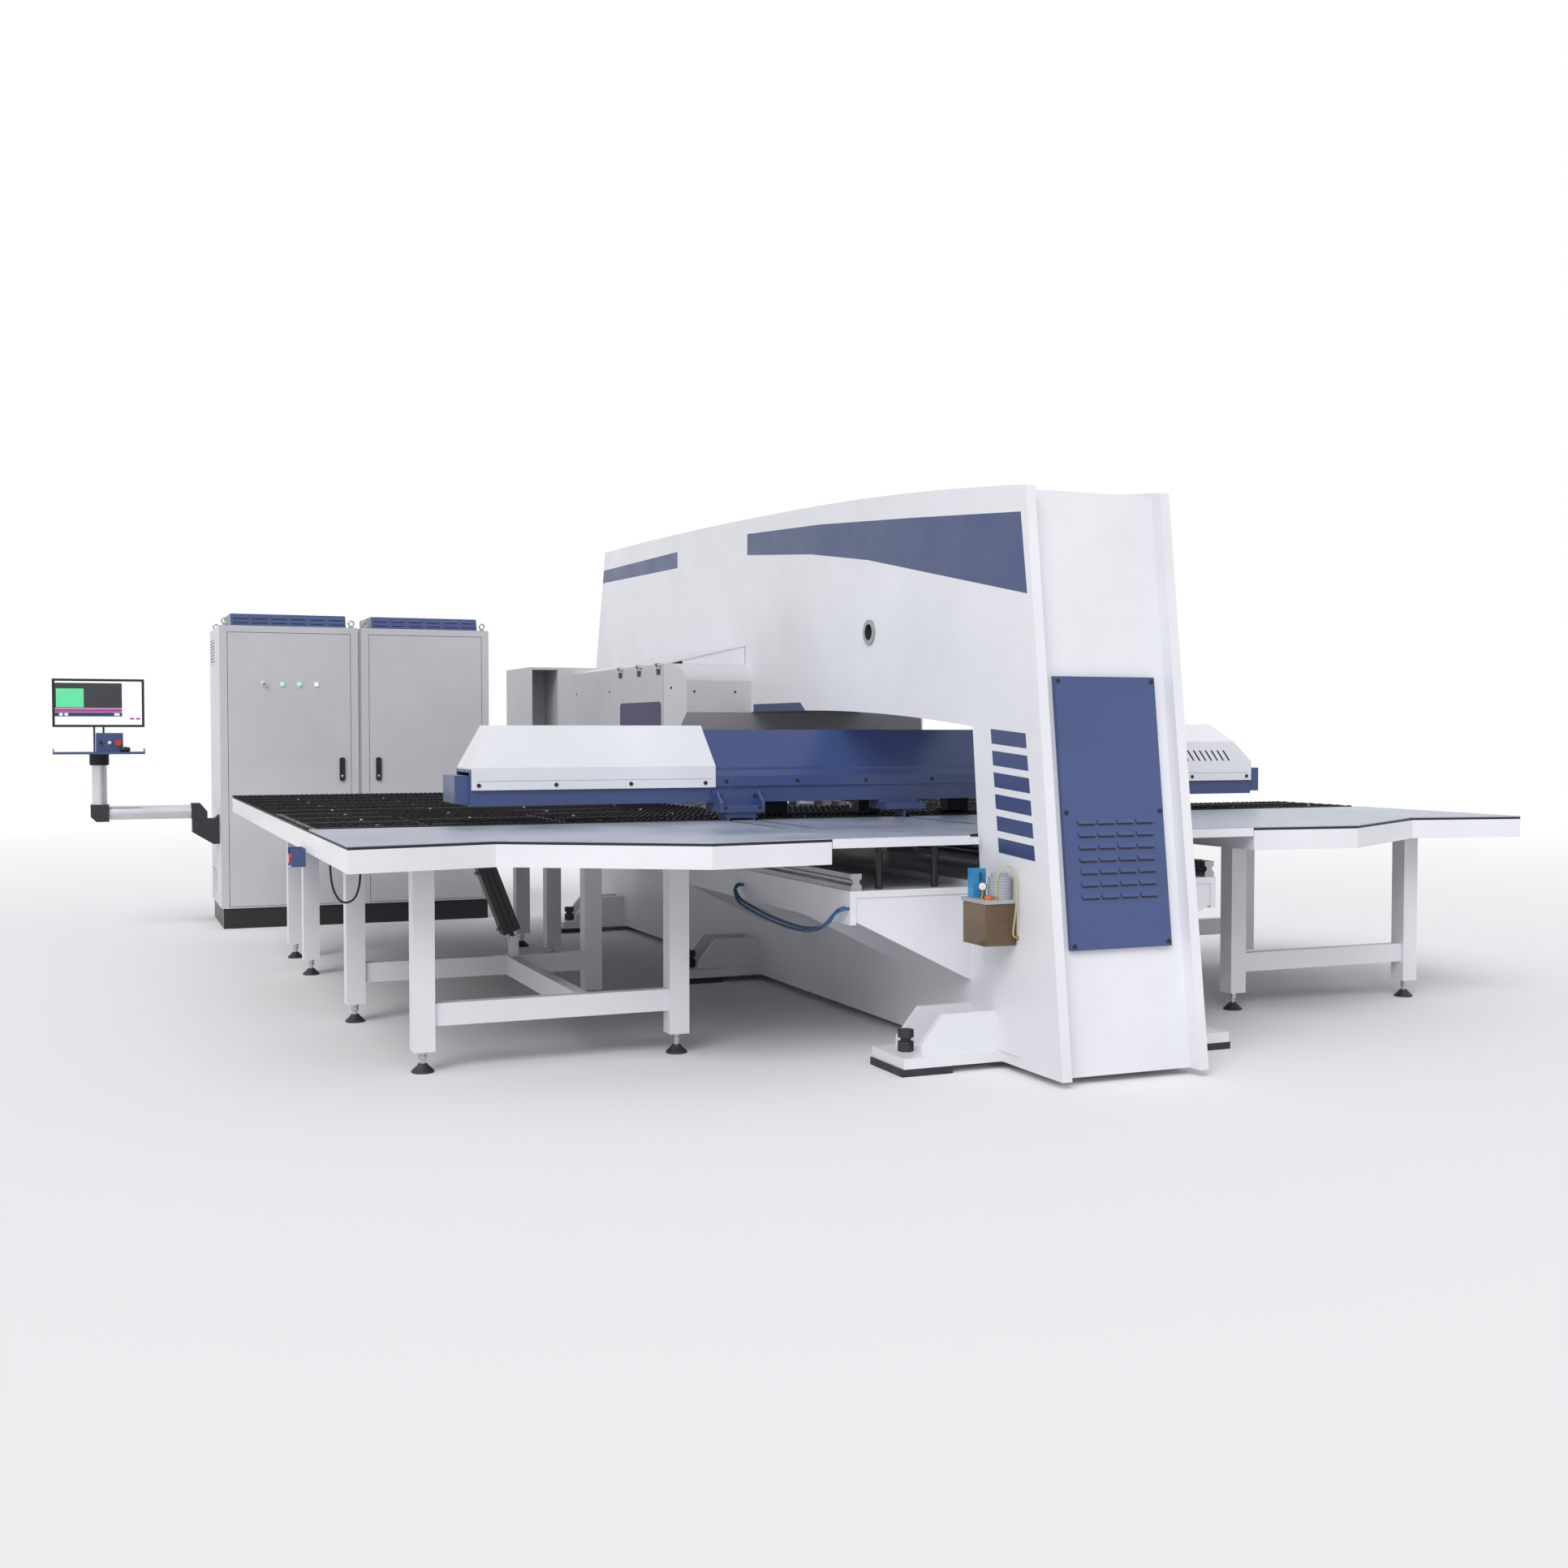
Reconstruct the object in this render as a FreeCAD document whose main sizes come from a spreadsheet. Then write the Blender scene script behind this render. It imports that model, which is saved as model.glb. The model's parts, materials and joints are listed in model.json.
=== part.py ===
import FreeCAD, Part
import math
import os

import Sketcher

# CNC turret punch press with brush tables, control cabinets and operator pendant.
# Millimetres. +X to the right along the carriage beam, +Y along the frame away from
# its near end, +Z up. Lengths below are laid out from the machine's own datum: X = 0 on
# the frame's middle plane, Y = 0 at the foot of its near end, Z = 0 on the floor.
# Every sub-part is then placed so that the origin lies under the middle of the whole.

DIMENSIONS = (
    # Frame: two slotted side plates joined by cross plates
    ("frame_width", 620), ("side_plate_t", 40), ("web_t", 25), ("frame_lift", 28),
    ("near_top_y", 271), ("near_top_z", 2152), ("crown_y", 2115), ("crown_z", 2302),
    ("far_top_y", 5574), ("far_top_z", 2422), ("far_knee_y", 5790), ("far_knee_z", 1695),
    ("crown_near_radius", 31800), ("crown_far_radius", 99000),
    ("throat_near_low_y", 590), ("throat_near_top_y", 656), ("throat_near_top_z", 1279),
    ("throat_arc_end_y", 2304), ("throat_top_z", 1358), ("throat_radius", 19000),
    ("throat_far_y", 5040), ("deck_z", 684), ("end_plate_recess", 60), ("top_plate_drop", 6),
    # Lifting bushes through both side plates
    ("lift_y", 1573), ("lift_z", 1689), ("lift_bush_r", 55), ("lift_bore_r", 35),
    ("lift_bush_proud", 8), ("bush_clearance", 0.05),
    # Foot brackets, levelling bolts and pads
    ("foot_near_y", 420), ("foot_mid_y", 2846), ("foot_far_y", 5135), ("foot_span", 270),
    ("foot_reach", 410), ("foot_base_t", 40), ("gusset_t", 25), ("gusset_inset", 45),
    ("gusset_pitch", 190),
    ("gusset_top_z", 212), ("gusset_flat", 225), ("gusset_reach", 315), ("gusset_nose", 35),
    ("bolt_inset", 75), ("bolt_hole_r", 21), ("bolt_shank_r", 20), ("bolt_head_r", 30),
    ("bolt_nut_t", 38), ("bolt_head_t", 30), ("bolt_gap", 14), ("pad_reach", 208),
    # Louvred panel on the near end plate
    ("panel_width", 430), ("panel_height", 985), ("panel_t", 20), ("panel_base_z", 475),
    ("louvre_rows", 7), ("louvre_columns", 4), ("louvre_w", 74), ("louvre_h", 15),
    ("louvre_proud", 9), ("louvre_pitch_x", 83), ("louvre_pitch_z", 44.5),
    ("louvre_first_z", 185), ("louvre_shift_x", 5),
    # Side consoles that carry the Y rails
    ("console_reach", 518), ("console_near_y", 655), ("console_length", 2545),
    ("console_top_z", 662), ("console_plate_t", 25), ("console_apron_z", 535),
    ("console_root_z", 300), ("console_ribs", 4), ("console_rib_t", 25),
    ("console_rib_pitch", 700), ("console_rib_inset", 5), ("console_rib_foot", 12),
    ("rail_offset", 800), ("rail_w", 45), ("rail_h", 65), ("rail_neck", 26),
    ("rail_length", 2330),
    # Y drive under the centre table
    ("screw_z", 757), ("screw_r", 20), ("screw_near_y", 900), ("screw_far_y", 2950),
    ("block_w", 110), ("block_t", 55), ("shaft_clearance", 0.06), ("motor_w", 130),
    ("motor_length", 190), ("motor_gap", 30),
    # Tables
    ("table_top_z", 870), ("sheet_t", 4), ("board_t", 10), ("skirt_h", 82),
    ("table_half", 2640), ("table_kink_out_x", 2105), ("table_kink_in_x", 1430),
    ("table_in_x", 945), ("table_corner_y", 805), ("table_kink_out_y", 915),
    ("table_kink_in_y", 505), ("table_in_y", 560), ("table_far_y", 5600),
    ("right_wing_y", 2500), ("right_back_x", 1700), ("sheet_far_y", 1855),
    ("sheet_seam_x", 2077), ("sheet_in_x", 875), ("sheet_gap", 2), ("skirt_wall", 40),
    ("member_h", 40), ("centre_skirt_h", 38), ("centre_notch_x", 372), ("notch_y", 640),
    ("centre_far_y", 3005), ("centre_arm_x", 585), ("centre_arm_far_y", 4700),
    ("slot_w", 30), ("strip_w", 90), ("slot_near_y", 1190), ("slot_far_y", 2680),
    ("screw_slot_w", 40), ("bristle_row_pitch", 400), ("bristle_row_w", 24),
    ("bristle_h", 7), ("bristle_inset", 30),
    # Trapdoor in the left table and its cylinder
    ("trap_in_x", 1546), ("trap_out_x", 2146), ("trap_near_y", 1990), ("trap_far_y", 2710),
    ("trap_gap", 4), ("trap_pin_r", 8), ("trap_block", 28), ("trap_lug_x", 1883),
    ("trap_lug_z", 806), ("trap_lug_t", 12), ("trap_lug_w", 36), ("cyl_foot_x", 1700),
    ("cyl_y", 2350), ("cyl_foot_z", 330), ("cyl_w", 80), ("cyl_start", 40),
    ("cyl_length", 330), ("rod_r", 14), ("rod_eye_w", 44), ("eye_play", 5), ("eye_t", 20),
    ("rod_l", 270), ("cyl_floor", 60),
    # Table legs and feet
    ("leg_w", 80), ("leg_z", 80), ("leg_front_y", 1190), ("leg_row2_y", 2390),
    ("leg_row3_y", 3920), ("leg_row4_y", 4616), ("leg_out_x", 2320), ("leg_in_x", 1330),
    ("leg_far_out_x", 2390), ("leg_far_in_x", 1110), ("stretcher_z", 172),
    ("stretcher_h", 84), ("stretcher_w", 50), ("cross_x", 1705),
    ("foot_pad_w", 84), ("foot_pad_h", 33), ("foot_top_w", 34), ("foot_stud_r", 10),
    ("right_leg_x", 1600), ("post_r", 14), ("post_y", 712), ("post_far_y", 2880),
    ("post_out_x", 683), ("post_in_x", 443),
    # Carriage beam and covers
    ("beam_near_y", 1915), ("beam_depth", 270), ("beam_half", 1985), ("beam_low_z", 947),
    ("beam_top_z", 1100), ("beam_end_t", 12), ("beam_end_reach", 60), ("beam_end_h", 116),
    ("cover_near_y", 1900), ("cover_far_y", 2200), ("cover_low_z", 1014),
    ("cover_fold_z", 1107), ("cover_top_z", 1285), ("cover_top_near_y", 1975),
    ("cover_top_far_y", 2175), ("cover_in_x", 902), ("cover_wall", 4),
    ("cover_end_slope", 96), ("cover_join_gap", 0.4), ("cover_join_slope", 42), ("right_fold_z", 1208),
    ("right_top_z", 1294), ("right_end_slope", 205), ("vent_slots", 9), ("vent_slot_w", 11),
    ("vent_slot_h", 52), ("vent_slot_lean", 40), ("vent_slot_pitch", 35.5),
    ("vent_slot_end_x", 1850), ("vent_slot_z", 1112), ("centre_top_z", 1267),
    ("centre_low_z", 1018), ("centre_fold_z", 1062), ("centre_inset", 6),
    # Carriage brackets, slider blocks and ball nut
    ("bracket_half", 105), ("bracket_rib_t", 14), ("bracket_near_y", 1835),
    ("bracket_top_z", 1000), ("bracket_foot_z", 905), ("bracket_foot_t", 30),
    ("bracket_leg_t", 12), ("bracket_leg_w", 100), ("bracket_leg_y", 1850),
    ("bracket_bridge_z", 880), ("slider_top_z", 757), ("slider_plate_t", 14),
    ("slider_w", 120), ("slider_gap", 0.4), ("slider_skirt", 34), ("slider_near_y", 1780),
    ("slider_length", 240), ("nut_half", 46),
    ("nut_plate_t", 14), ("nut_length", 90), ("nut_bracket_half", 100),
    # X rails and clamp carriage
    ("x_rail_w", 20), ("x_rail_h", 28), ("x_rail_low_z", 972), ("x_rail_high_z", 1052),
    ("x_rail_half", 1910), ("track_t", 8), ("track_z", 1012), ("carriage_half", 640),
    ("carriage_plate_t", 20),
    ("carriage_low_z", 950), ("carriage_high_z", 1096), ("guide_gap", 0.4),
    ("clamp_half", 56), ("clamp_spacing", 480), ("clamp_depth", 66), ("clamp_top_z", 1000),
    ("jaw_low_z", 875), ("jaw_base_t", 10), ("jaw_open", 5), ("jaw_tip", 66),
    ("jaw_pivot_z", 932), ("jaw_pivot_out", 15), ("jaw_pin_r", 6),
    ("jaw_lug_t", 10), ("jaw_side_gap", 1.5),
    # Turrets and press head
    ("turret_y", 3570), ("turret_r", 540), ("station_r", 440), ("stations", 16),
    ("holder_r", 31), ("upper_disc_z", 960), ("upper_disc_t", 80), ("punch_tip_z", 896),
    ("punch_head_z", 1100), ("turret_shaft_r", 70), ("shaft_top_z", 1350),
    ("lower_disc_z", 772), ("lower_disc_t", 68), ("die_top_z", 868), ("shaft_low_z", 690),
    ("bearing_r", 130), ("bearing_upper_z", 1250), ("bearing_lower_top_z", 760),
    ("head_flange_r", 98), ("head_flange_z", 1300), ("head_guide_r", 74),
    ("head_guide_z", 1160), ("ram_r", 45), ("ram_low_z", 1132), ("ram_top_z", 1346),
    # Turret guard
    ("guard_x", 737), ("guard_face_x", 660), ("guard_near_y", 2973),
    ("guard_corner_y", 3100), ("guard_far_y", 4800), ("guard_top_z", 1603),
    ("guard_bevel_z", 1516), ("guard_bevel_y", 3060), ("guard_lip_z", 1356),
    ("guard_slant_z", 1220), ("guard_inner_y", 3040), ("guard_low_z", 1110),
    ("guard_wall", 4), ("guard_roof_z", 1700), ("guard_roll_r", 110),
    ("side_box_x", 1008), ("side_box_far_y", 5400), ("side_box_low_z", 900),
    ("side_box_top_z", 1640), ("recess_in_x", 838), ("recess_edge", 14),
    ("recess_depth", 320), ("flap_near_y", 3115), ("flap_far_y", 3945),
    ("flap_low_z", 1160), ("flap_top_z", 1590), ("flap_t", 4), ("flap_overlap", 16),
    ("flap_fit", 0.5), ("flap_hinge_r", 7), ("flap_hinge_out", 14), ("flap_hinge_l", 30),
    ("flap_pin_r", 3), ("flap_cheek_t", 8), ("flap_hinge_z", 1600),
    ("flap_leaf_h", 12),
    ("flap_hinge_1_y", 3160), ("flap_hinge_2_y", 3485), ("flap_hinge_3_y", 3819),
    ("window_near_y", 3135), ("window_far_y", 3850), ("window_low_z", 1215),
    ("window_top_z", 1411), ("window_round", 30),
    # Cabinets
    ("cabinet_y", 6167), ("cabinet_depth", 840), ("cabinet_left_x", 2667),
    ("cabinet_seam_left_x", 1808), ("cabinet_seam_right_x", 1787),
    ("cabinet_right_x", 949), ("plinth_h", 130), ("plinth_inset", 12),
    ("cabinet_top_z", 1930), ("cabinet_wall", 20), ("door_margin_side", 50),
    ("door_margin_low", 12), ("door_margin_top", 44), ("door_t", 24), ("door_gap", 3),
    ("door_rebate", 6), ("door_pin_in", 12), ("door_pin_back", 7), ("door_pin_r", 4),
    ("door_pin_l", 20), ("module_pitch_z", 480), ("module_depth", 180), ("module_h", 260),
    ("handle_w", 34), ("handle_h", 152), ("handle_t", 12), ("handle_inset", 56),
    ("handle_z", 936), ("handle_fit", 0.4), ("handle_round", 8), ("spindle_r", 9), ("key_x", 2395),
    ("lamp_1_x", 2285),
    ("lamp_pitch", 106), ("lamp_z", 1560), ("lamp_r", 15), ("lamp_proud", 14),
    ("key_r", 12), ("key_proud", 12), ("key_bow_w", 5), ("key_bow_h", 22),
    ("roof_inset_x", 72), ("roof_near", 24), ("roof_depth", 520), ("roof_h", 78),
    ("roof_slope", 34), ("roof_wall", 3),
    # Operator pendant
    ("pendant_y", 6350), ("swivel_x", 2782), ("bracket_low_z", 536),
    ("bracket_high_z", 700), ("bracket_w", 96), ("arm_z", 745),
    ("arm_tube_r", 44), ("post_x", 3376), ("elbow_half", 54),
    ("elbow_fit", 0.6), ("swivel_pin_r", 20), ("swivel_pin_l", 30), ("post_top_z", 1045),
    ("coupling_r", 56),
    ("tray_z", 1116), ("tray_t", 14), ("tray_w", 530), ("tray_d", 250), ("tray_lip", 20),
    ("box_w", 158), ("box_h", 118), ("box_d", 96), ("monitor_w", 532),
    ("monitor_h", 300), ("monitor_t", 34), ("monitor_low_z", 1284),
    ("monitor_arm_w", 40), ("monitor_bezel", 10), ("monitor_set_back", 20),
    ("tilt_back", 46), ("tilt_pin_r", 6), ("tilt_lug", 12), ("box_shift", 60),
    ("tray_near", 170), ("stem_r", 6), ("stem_l", 24), ("press_room", 6),
    ("press_fit", 0.5), ("mushroom_t", 12), ("button_r", 11), ("estop_r", 20),
    ("button_z", 58),
    ("button_pitch", 50), ("button_proud", 12), ("estop_proud", 26),
    # Emergency stop under the left table edge
    ("stop_y", 2040), ("stop_low_z", 712), ("stop_high_z", 786), ("stop_half", 62),
    ("stop_reach", 56), ("stop_t", 4),
    # Central lubricator on the left side plate
    ("lube_near_y", 320), ("lube_far_y", 492), ("lube_out_x", 438), ("lube_low_z", 475),
    ("lube_flange_z", 630), ("lube_flange_t", 14), ("lube_wall", 5), ("lube_lip", 6),
    ("lube_motor_r", 42), ("lube_motor_h", 96), ("lube_motor_x", 358),
    ("lube_motor_y", 362), ("lube_box_w", 54), ("lube_box_d", 40), ("lube_box_h", 108),
    ("lube_box_x", 376), ("lube_box_y", 432),
    # Hoses
    ("lube_tube_d", 6), ("hose_d", 12), ("hose_gap", 4), ("loop_hose_d", 8),
)

document = FreeCAD.newDocument("TurretPunchPress")
sheet = document.addObject("Spreadsheet::Sheet", "Dims")
for row, (alias, number) in enumerate(DIMENSIONS, start=1):
    sheet.set(f"A{row}", alias)
    sheet.set(f"B{row}", str(number))
    sheet.setAlias(f"B{row}", alias)
document.recompute()


class Size:
    """A length with its number and the formula that binds it to the sheet."""

    def __init__(self, value, formula):
        self.value = value
        self.formula = formula

    def __add__(self, other):
        other = as_size(other)
        return Size(self.value + other.value, f"({self.formula} + {other.formula})")

    def __sub__(self, other):
        other = as_size(other)
        return Size(self.value - other.value, f"({self.formula} - {other.formula})")

    def __mul__(self, other):
        other = as_size(other)
        return Size(self.value * other.value, f"({self.formula} * {other.formula})")

    def __truediv__(self, other):
        other = as_size(other)
        return Size(self.value / other.value, f"({self.formula} / {other.formula})")

    def __neg__(self):
        return Size(-self.value, f"(0 - {self.formula})")

    def __rsub__(self, other):
        return as_size(other) - self

    def __rtruediv__(self, other):
        return as_size(other) / self

    __radd__ = __add__
    __rmul__ = __mul__


def as_size(number):
    if isinstance(number, Size):
        return number
    text = f"(0 - {abs(number)})" if number < 0 else f"{number}"
    return Size(float(number), text)


class Sheet:
    """Reads a driving dimension by its alias."""

    def __getattr__(self, alias):
        return Size(float(sheet.get(alias)), f"Dims.{alias}")


d = Sheet()


def count(alias):
    return int(round(float(sheet.get(alias))))


def new_object(kind, hint):
    return document.addObject(kind, hint)


def bind(thing, path, size):
    thing.setExpression(path, as_size(size).formula)


# ---------------------------------------------------------------- building blocks

def box(x, y, z, length, width, height):
    """A block by its lowest corner and its extents."""
    block = new_object("Part::Box", "Block")
    for path, size in (("Placement.Base.x", x), ("Placement.Base.y", y),
                       ("Placement.Base.z", z), ("Length", length), ("Width", width),
                       ("Height", height)):
        bind(block, path, size)
    return block


def span_box(x_pair, y_pair, z_pair):
    """A block between two values on each axis."""
    return box(x_pair[0], y_pair[0], z_pair[0], as_size(x_pair[1]) - x_pair[0],
               as_size(y_pair[1]) - y_pair[0], as_size(z_pair[1]) - z_pair[0])


TURNS = {
    "Z": FreeCAD.Rotation(),
    "X": FreeCAD.Rotation(FreeCAD.Vector(0, 1, 0), 90),
    "Y": FreeCAD.Rotation(FreeCAD.Vector(1, 0, 0), -90),
}


def rod(x, y, z, axis, radius, length):
    """A cylinder that starts at a point and runs along a positive axis."""
    cylinder = new_object("Part::Cylinder", "Rod")
    cylinder.Placement = FreeCAD.Placement(FreeCAD.Vector(), TURNS[axis])
    for path, size in (("Placement.Base.x", x), ("Placement.Base.y", y),
                       ("Placement.Base.z", z), ("Radius", radius), ("Height", length)):
        bind(cylinder, path, size)
    return cylinder


def fuse(*pieces):
    joined = new_object("Part::MultiFuse", "Joined")
    joined.Shapes = list(pieces)
    joined.Refine = True
    return joined


def common(*pieces):
    shared = new_object("Part::MultiCommon", "Shared")
    shared.Shapes = list(pieces)
    return shared


def cut(base, *tools):
    result = base
    for tool in tools:
        step = new_object("Part::Cut", "Trimmed")
        step.Base = result
        step.Tool = tool
        result = step
    return result


def mirrored(piece, normal=(1, 0, 0)):
    """The same piece on the other side of the frame's middle plane."""
    other = new_object("Part::Mirroring", "Mirrored")
    other.Source = piece
    other.Normal = FreeCAD.Vector(*normal)
    return other


def both_sides(piece):
    return [piece, mirrored(piece)]


def group(*pieces):
    """Separate solids that share one sub-part."""
    together = new_object("Part::Compound", "Group")
    together.Links = list(pieces)
    return together


def arc_between(start, end, radius, bulge_right):
    """The arc of a given radius between two points, and whether its ends swap."""
    middle = (start + end) / 2
    chord = end - start
    half = chord.Length / 2
    reach = math.sqrt(max(radius * radius - half * half, 0.0))
    left = FreeCAD.Vector(-chord.y, chord.x, 0).normalize()
    centre = middle + left * reach if bulge_right else middle - left * reach
    first = math.atan2(start.y - centre.y, start.x - centre.x)
    last = math.atan2(end.y - centre.y, end.x - centre.x)
    circle = Part.Circle(centre, FreeCAD.Vector(0, 0, 1), radius)
    if bulge_right:
        return Part.ArcOfCircle(circle, first, last), False
    return Part.ArcOfCircle(circle, last, first), True


def draw_loop(sketch, corners):
    """A closed outline. A corner is (u, v), or (u, v, radius, side) where an arc
    bulging to that side of travel, "right" or "left", leads to the next corner."""
    places = [FreeCAD.Vector(as_size(c[0]).value, as_size(c[1]).value, 0)
              for c in corners]
    ends = []
    for index, corner in enumerate(corners):
        start = places[index]
        end = places[(index + 1) % len(corners)]
        swapped = False
        if len(corner) == 2:
            edge = Part.LineSegment(start, end)
        else:
            edge, swapped = arc_between(start, end, as_size(corner[2]).value,
                                        corner[3] == "right")
        number = sketch.addGeometry(edge, False)
        ends.append((number, 2, 1) if swapped else (number, 1, 2))
    for index, (number, _, last) in enumerate(ends):
        following, first, _ = ends[(index + 1) % len(ends)]
        sketch.addConstraint(
            Sketcher.Constraint("Coincident", number, last, following, first))
    for index, corner in enumerate(corners):
        number, first, _ = ends[index]
        for kind, size in (("DistanceX", corner[0]), ("DistanceY", corner[1])):
            place = sketch.addConstraint(Sketcher.Constraint(
                kind, -1, 1, number, first, as_size(size).value))
            bind(sketch, f"Constraints[{place}]", size)
        if len(corner) > 2:
            place = sketch.addConstraint(Sketcher.Constraint(
                "Radius", number, as_size(corner[2]).value))
            bind(sketch, f"Constraints[{place}]", corner[2])


def draw_circle(sketch, u, v, radius):
    centre = FreeCAD.Vector(as_size(u).value, as_size(v).value, 0)
    circle = Part.Circle(centre, FreeCAD.Vector(0, 0, 1), as_size(radius).value)
    number = sketch.addGeometry(circle, False)
    for kind, arguments, size in (("DistanceX", (-1, 1, number, 3), u),
                                  ("DistanceY", (-1, 1, number, 3), v),
                                  ("Radius", (number,), radius)):
        place = sketch.addConstraint(
            Sketcher.Constraint(kind, *arguments, as_size(size).value))
        bind(sketch, f"Constraints[{place}]", size)


def origin_plane(body, role):
    return next(f for f in body.Origin.OriginFeatures if f.Role == role)


def new_sketch(body, plane, offset):
    """A sketch on an origin plane of its body, moved along +X, +Y or +Z."""
    sketch = body.newObject("Sketcher::SketchObject", "Outline")
    sketch.AttachmentSupport = [(origin_plane(body, f"{plane}_Plane"), "")]
    sketch.MapMode = "FlatFace"
    away = -as_size(offset) if plane == "XZ" else as_size(offset)
    bind(sketch, "AttachmentOffset.Base.z", away)
    return sketch


def pad(plane, start, depth, corners, holes=(), circles=()):
    """A plate or bar: an outline on a plane, padded from start along the axis."""
    body = new_object("PartDesign::Body", "Plate")
    sketch = new_sketch(body, plane, start)
    draw_loop(sketch, corners)
    for hole in holes:
        draw_loop(sketch, hole)
    for circle in circles:
        draw_circle(sketch, *circle)
    feature = body.newObject("PartDesign::Pad", "Pad")
    feature.Profile = sketch
    feature.Reversed = plane == "XZ"
    bind(feature, "Length", depth)
    sketch.Visibility = False
    return body


def leaning(piece, x, y, z, reach_x, reach_z):
    """Tips an upright piece, drawn about its own foot, along a direction in X and Z."""
    angle = math.degrees(math.atan2(reach_x.value, reach_z.value))
    piece.Placement = FreeCAD.Placement(
        FreeCAD.Vector(), FreeCAD.Rotation(FreeCAD.Vector(0, 1, 0), angle))
    bind(piece, "Placement.Rotation.Angle",
         Size(angle, f"atan2({reach_x.formula}; {reach_z.formula})"))
    for path, size in (("Placement.Base.x", x), ("Placement.Base.y", y),
                       ("Placement.Base.z", z)):
        bind(piece, path, size)
    return piece


def distance(u, v):
    """The straight length over two sides."""
    return Size(math.hypot(u.value, v.value), f"sqrt({u.formula}^2 + {v.formula}^2)")


def rectangle(u_pair, v_pair):
    return [(u_pair[0], v_pair[0]), (u_pair[1], v_pair[0]),
            (u_pair[1], v_pair[1]), (u_pair[0], v_pair[1])]


# The whole reaches from the pendant's screen to the right table edge and from the
# frame's near foot to the cabinets' back, which fixes the shift to the origin.
whole_left_x = -(d.post_x + d.monitor_w / 2)
shift_x = -(whole_left_x + d.table_half) / 2
shift_y = -(d.cabinet_y + d.cabinet_depth) / 2
NODES = []


def node(label, piece):
    """Names a finished sub-part and seats it in the frame of the whole."""
    piece.Label = label
    seat_x = piece.Placement.Base.x
    seat_y = piece.Placement.Base.y
    if seat_x or seat_y:
        raise ValueError(f"{label} is already placed")
    bind(piece, "Placement.Base.x", shift_x)
    bind(piece, "Placement.Base.y", shift_y)
    NODES.append(piece)
    return piece


# ------------------------------------------------------------------------- frame

outer = d.frame_width / 2
inner = outer - d.side_plate_t


def near_edge(z):
    """Y of the frame's slanted near edge at a height."""
    return d.near_top_y * (z - d.frame_lift) / (d.near_top_z - d.frame_lift)


def frame_side_plates():
    """Each side is welded up from a base, two columns and the arm over the throat."""
    corner_y = near_edge(d.throat_near_top_z)
    foot_y = near_edge(d.deck_z)
    base = [(0, d.frame_lift), (d.far_knee_y, d.frame_lift), (d.far_knee_y, d.deck_z),
            (foot_y, d.deck_z)]
    near_column = [(foot_y, d.deck_z), (d.throat_near_low_y, d.deck_z),
                   (d.throat_near_top_y, d.throat_near_top_z),
                   (corner_y, d.throat_near_top_z)]
    far_column = rectangle((d.throat_far_y, d.far_knee_y), (d.deck_z, d.throat_top_z))
    arm = [(corner_y, d.throat_near_top_z),
           (d.throat_near_top_y, d.throat_near_top_z, d.throat_radius, "left"),
           (d.throat_arc_end_y, d.throat_top_z), (d.far_knee_y, d.throat_top_z),
           (d.far_knee_y, d.far_knee_z),
           (d.far_top_y, d.far_top_z, d.crown_far_radius, "right"),
           (d.crown_y, d.crown_z, d.crown_near_radius, "right"),
           (d.near_top_y, d.near_top_z)]
    bush = (d.lift_y, d.lift_z, d.lift_bush_r)
    sections = [pad("YZ", -outer, d.side_plate_t, outline)
                for outline in (base, near_column, far_column)]
    sections.append(pad("YZ", -outer, d.side_plate_t, arm, circles=[bush]))
    pieces = []
    for section in sections:
        pieces += both_sides(section)
    return node("frame_side_plates", group(*pieces))


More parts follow.
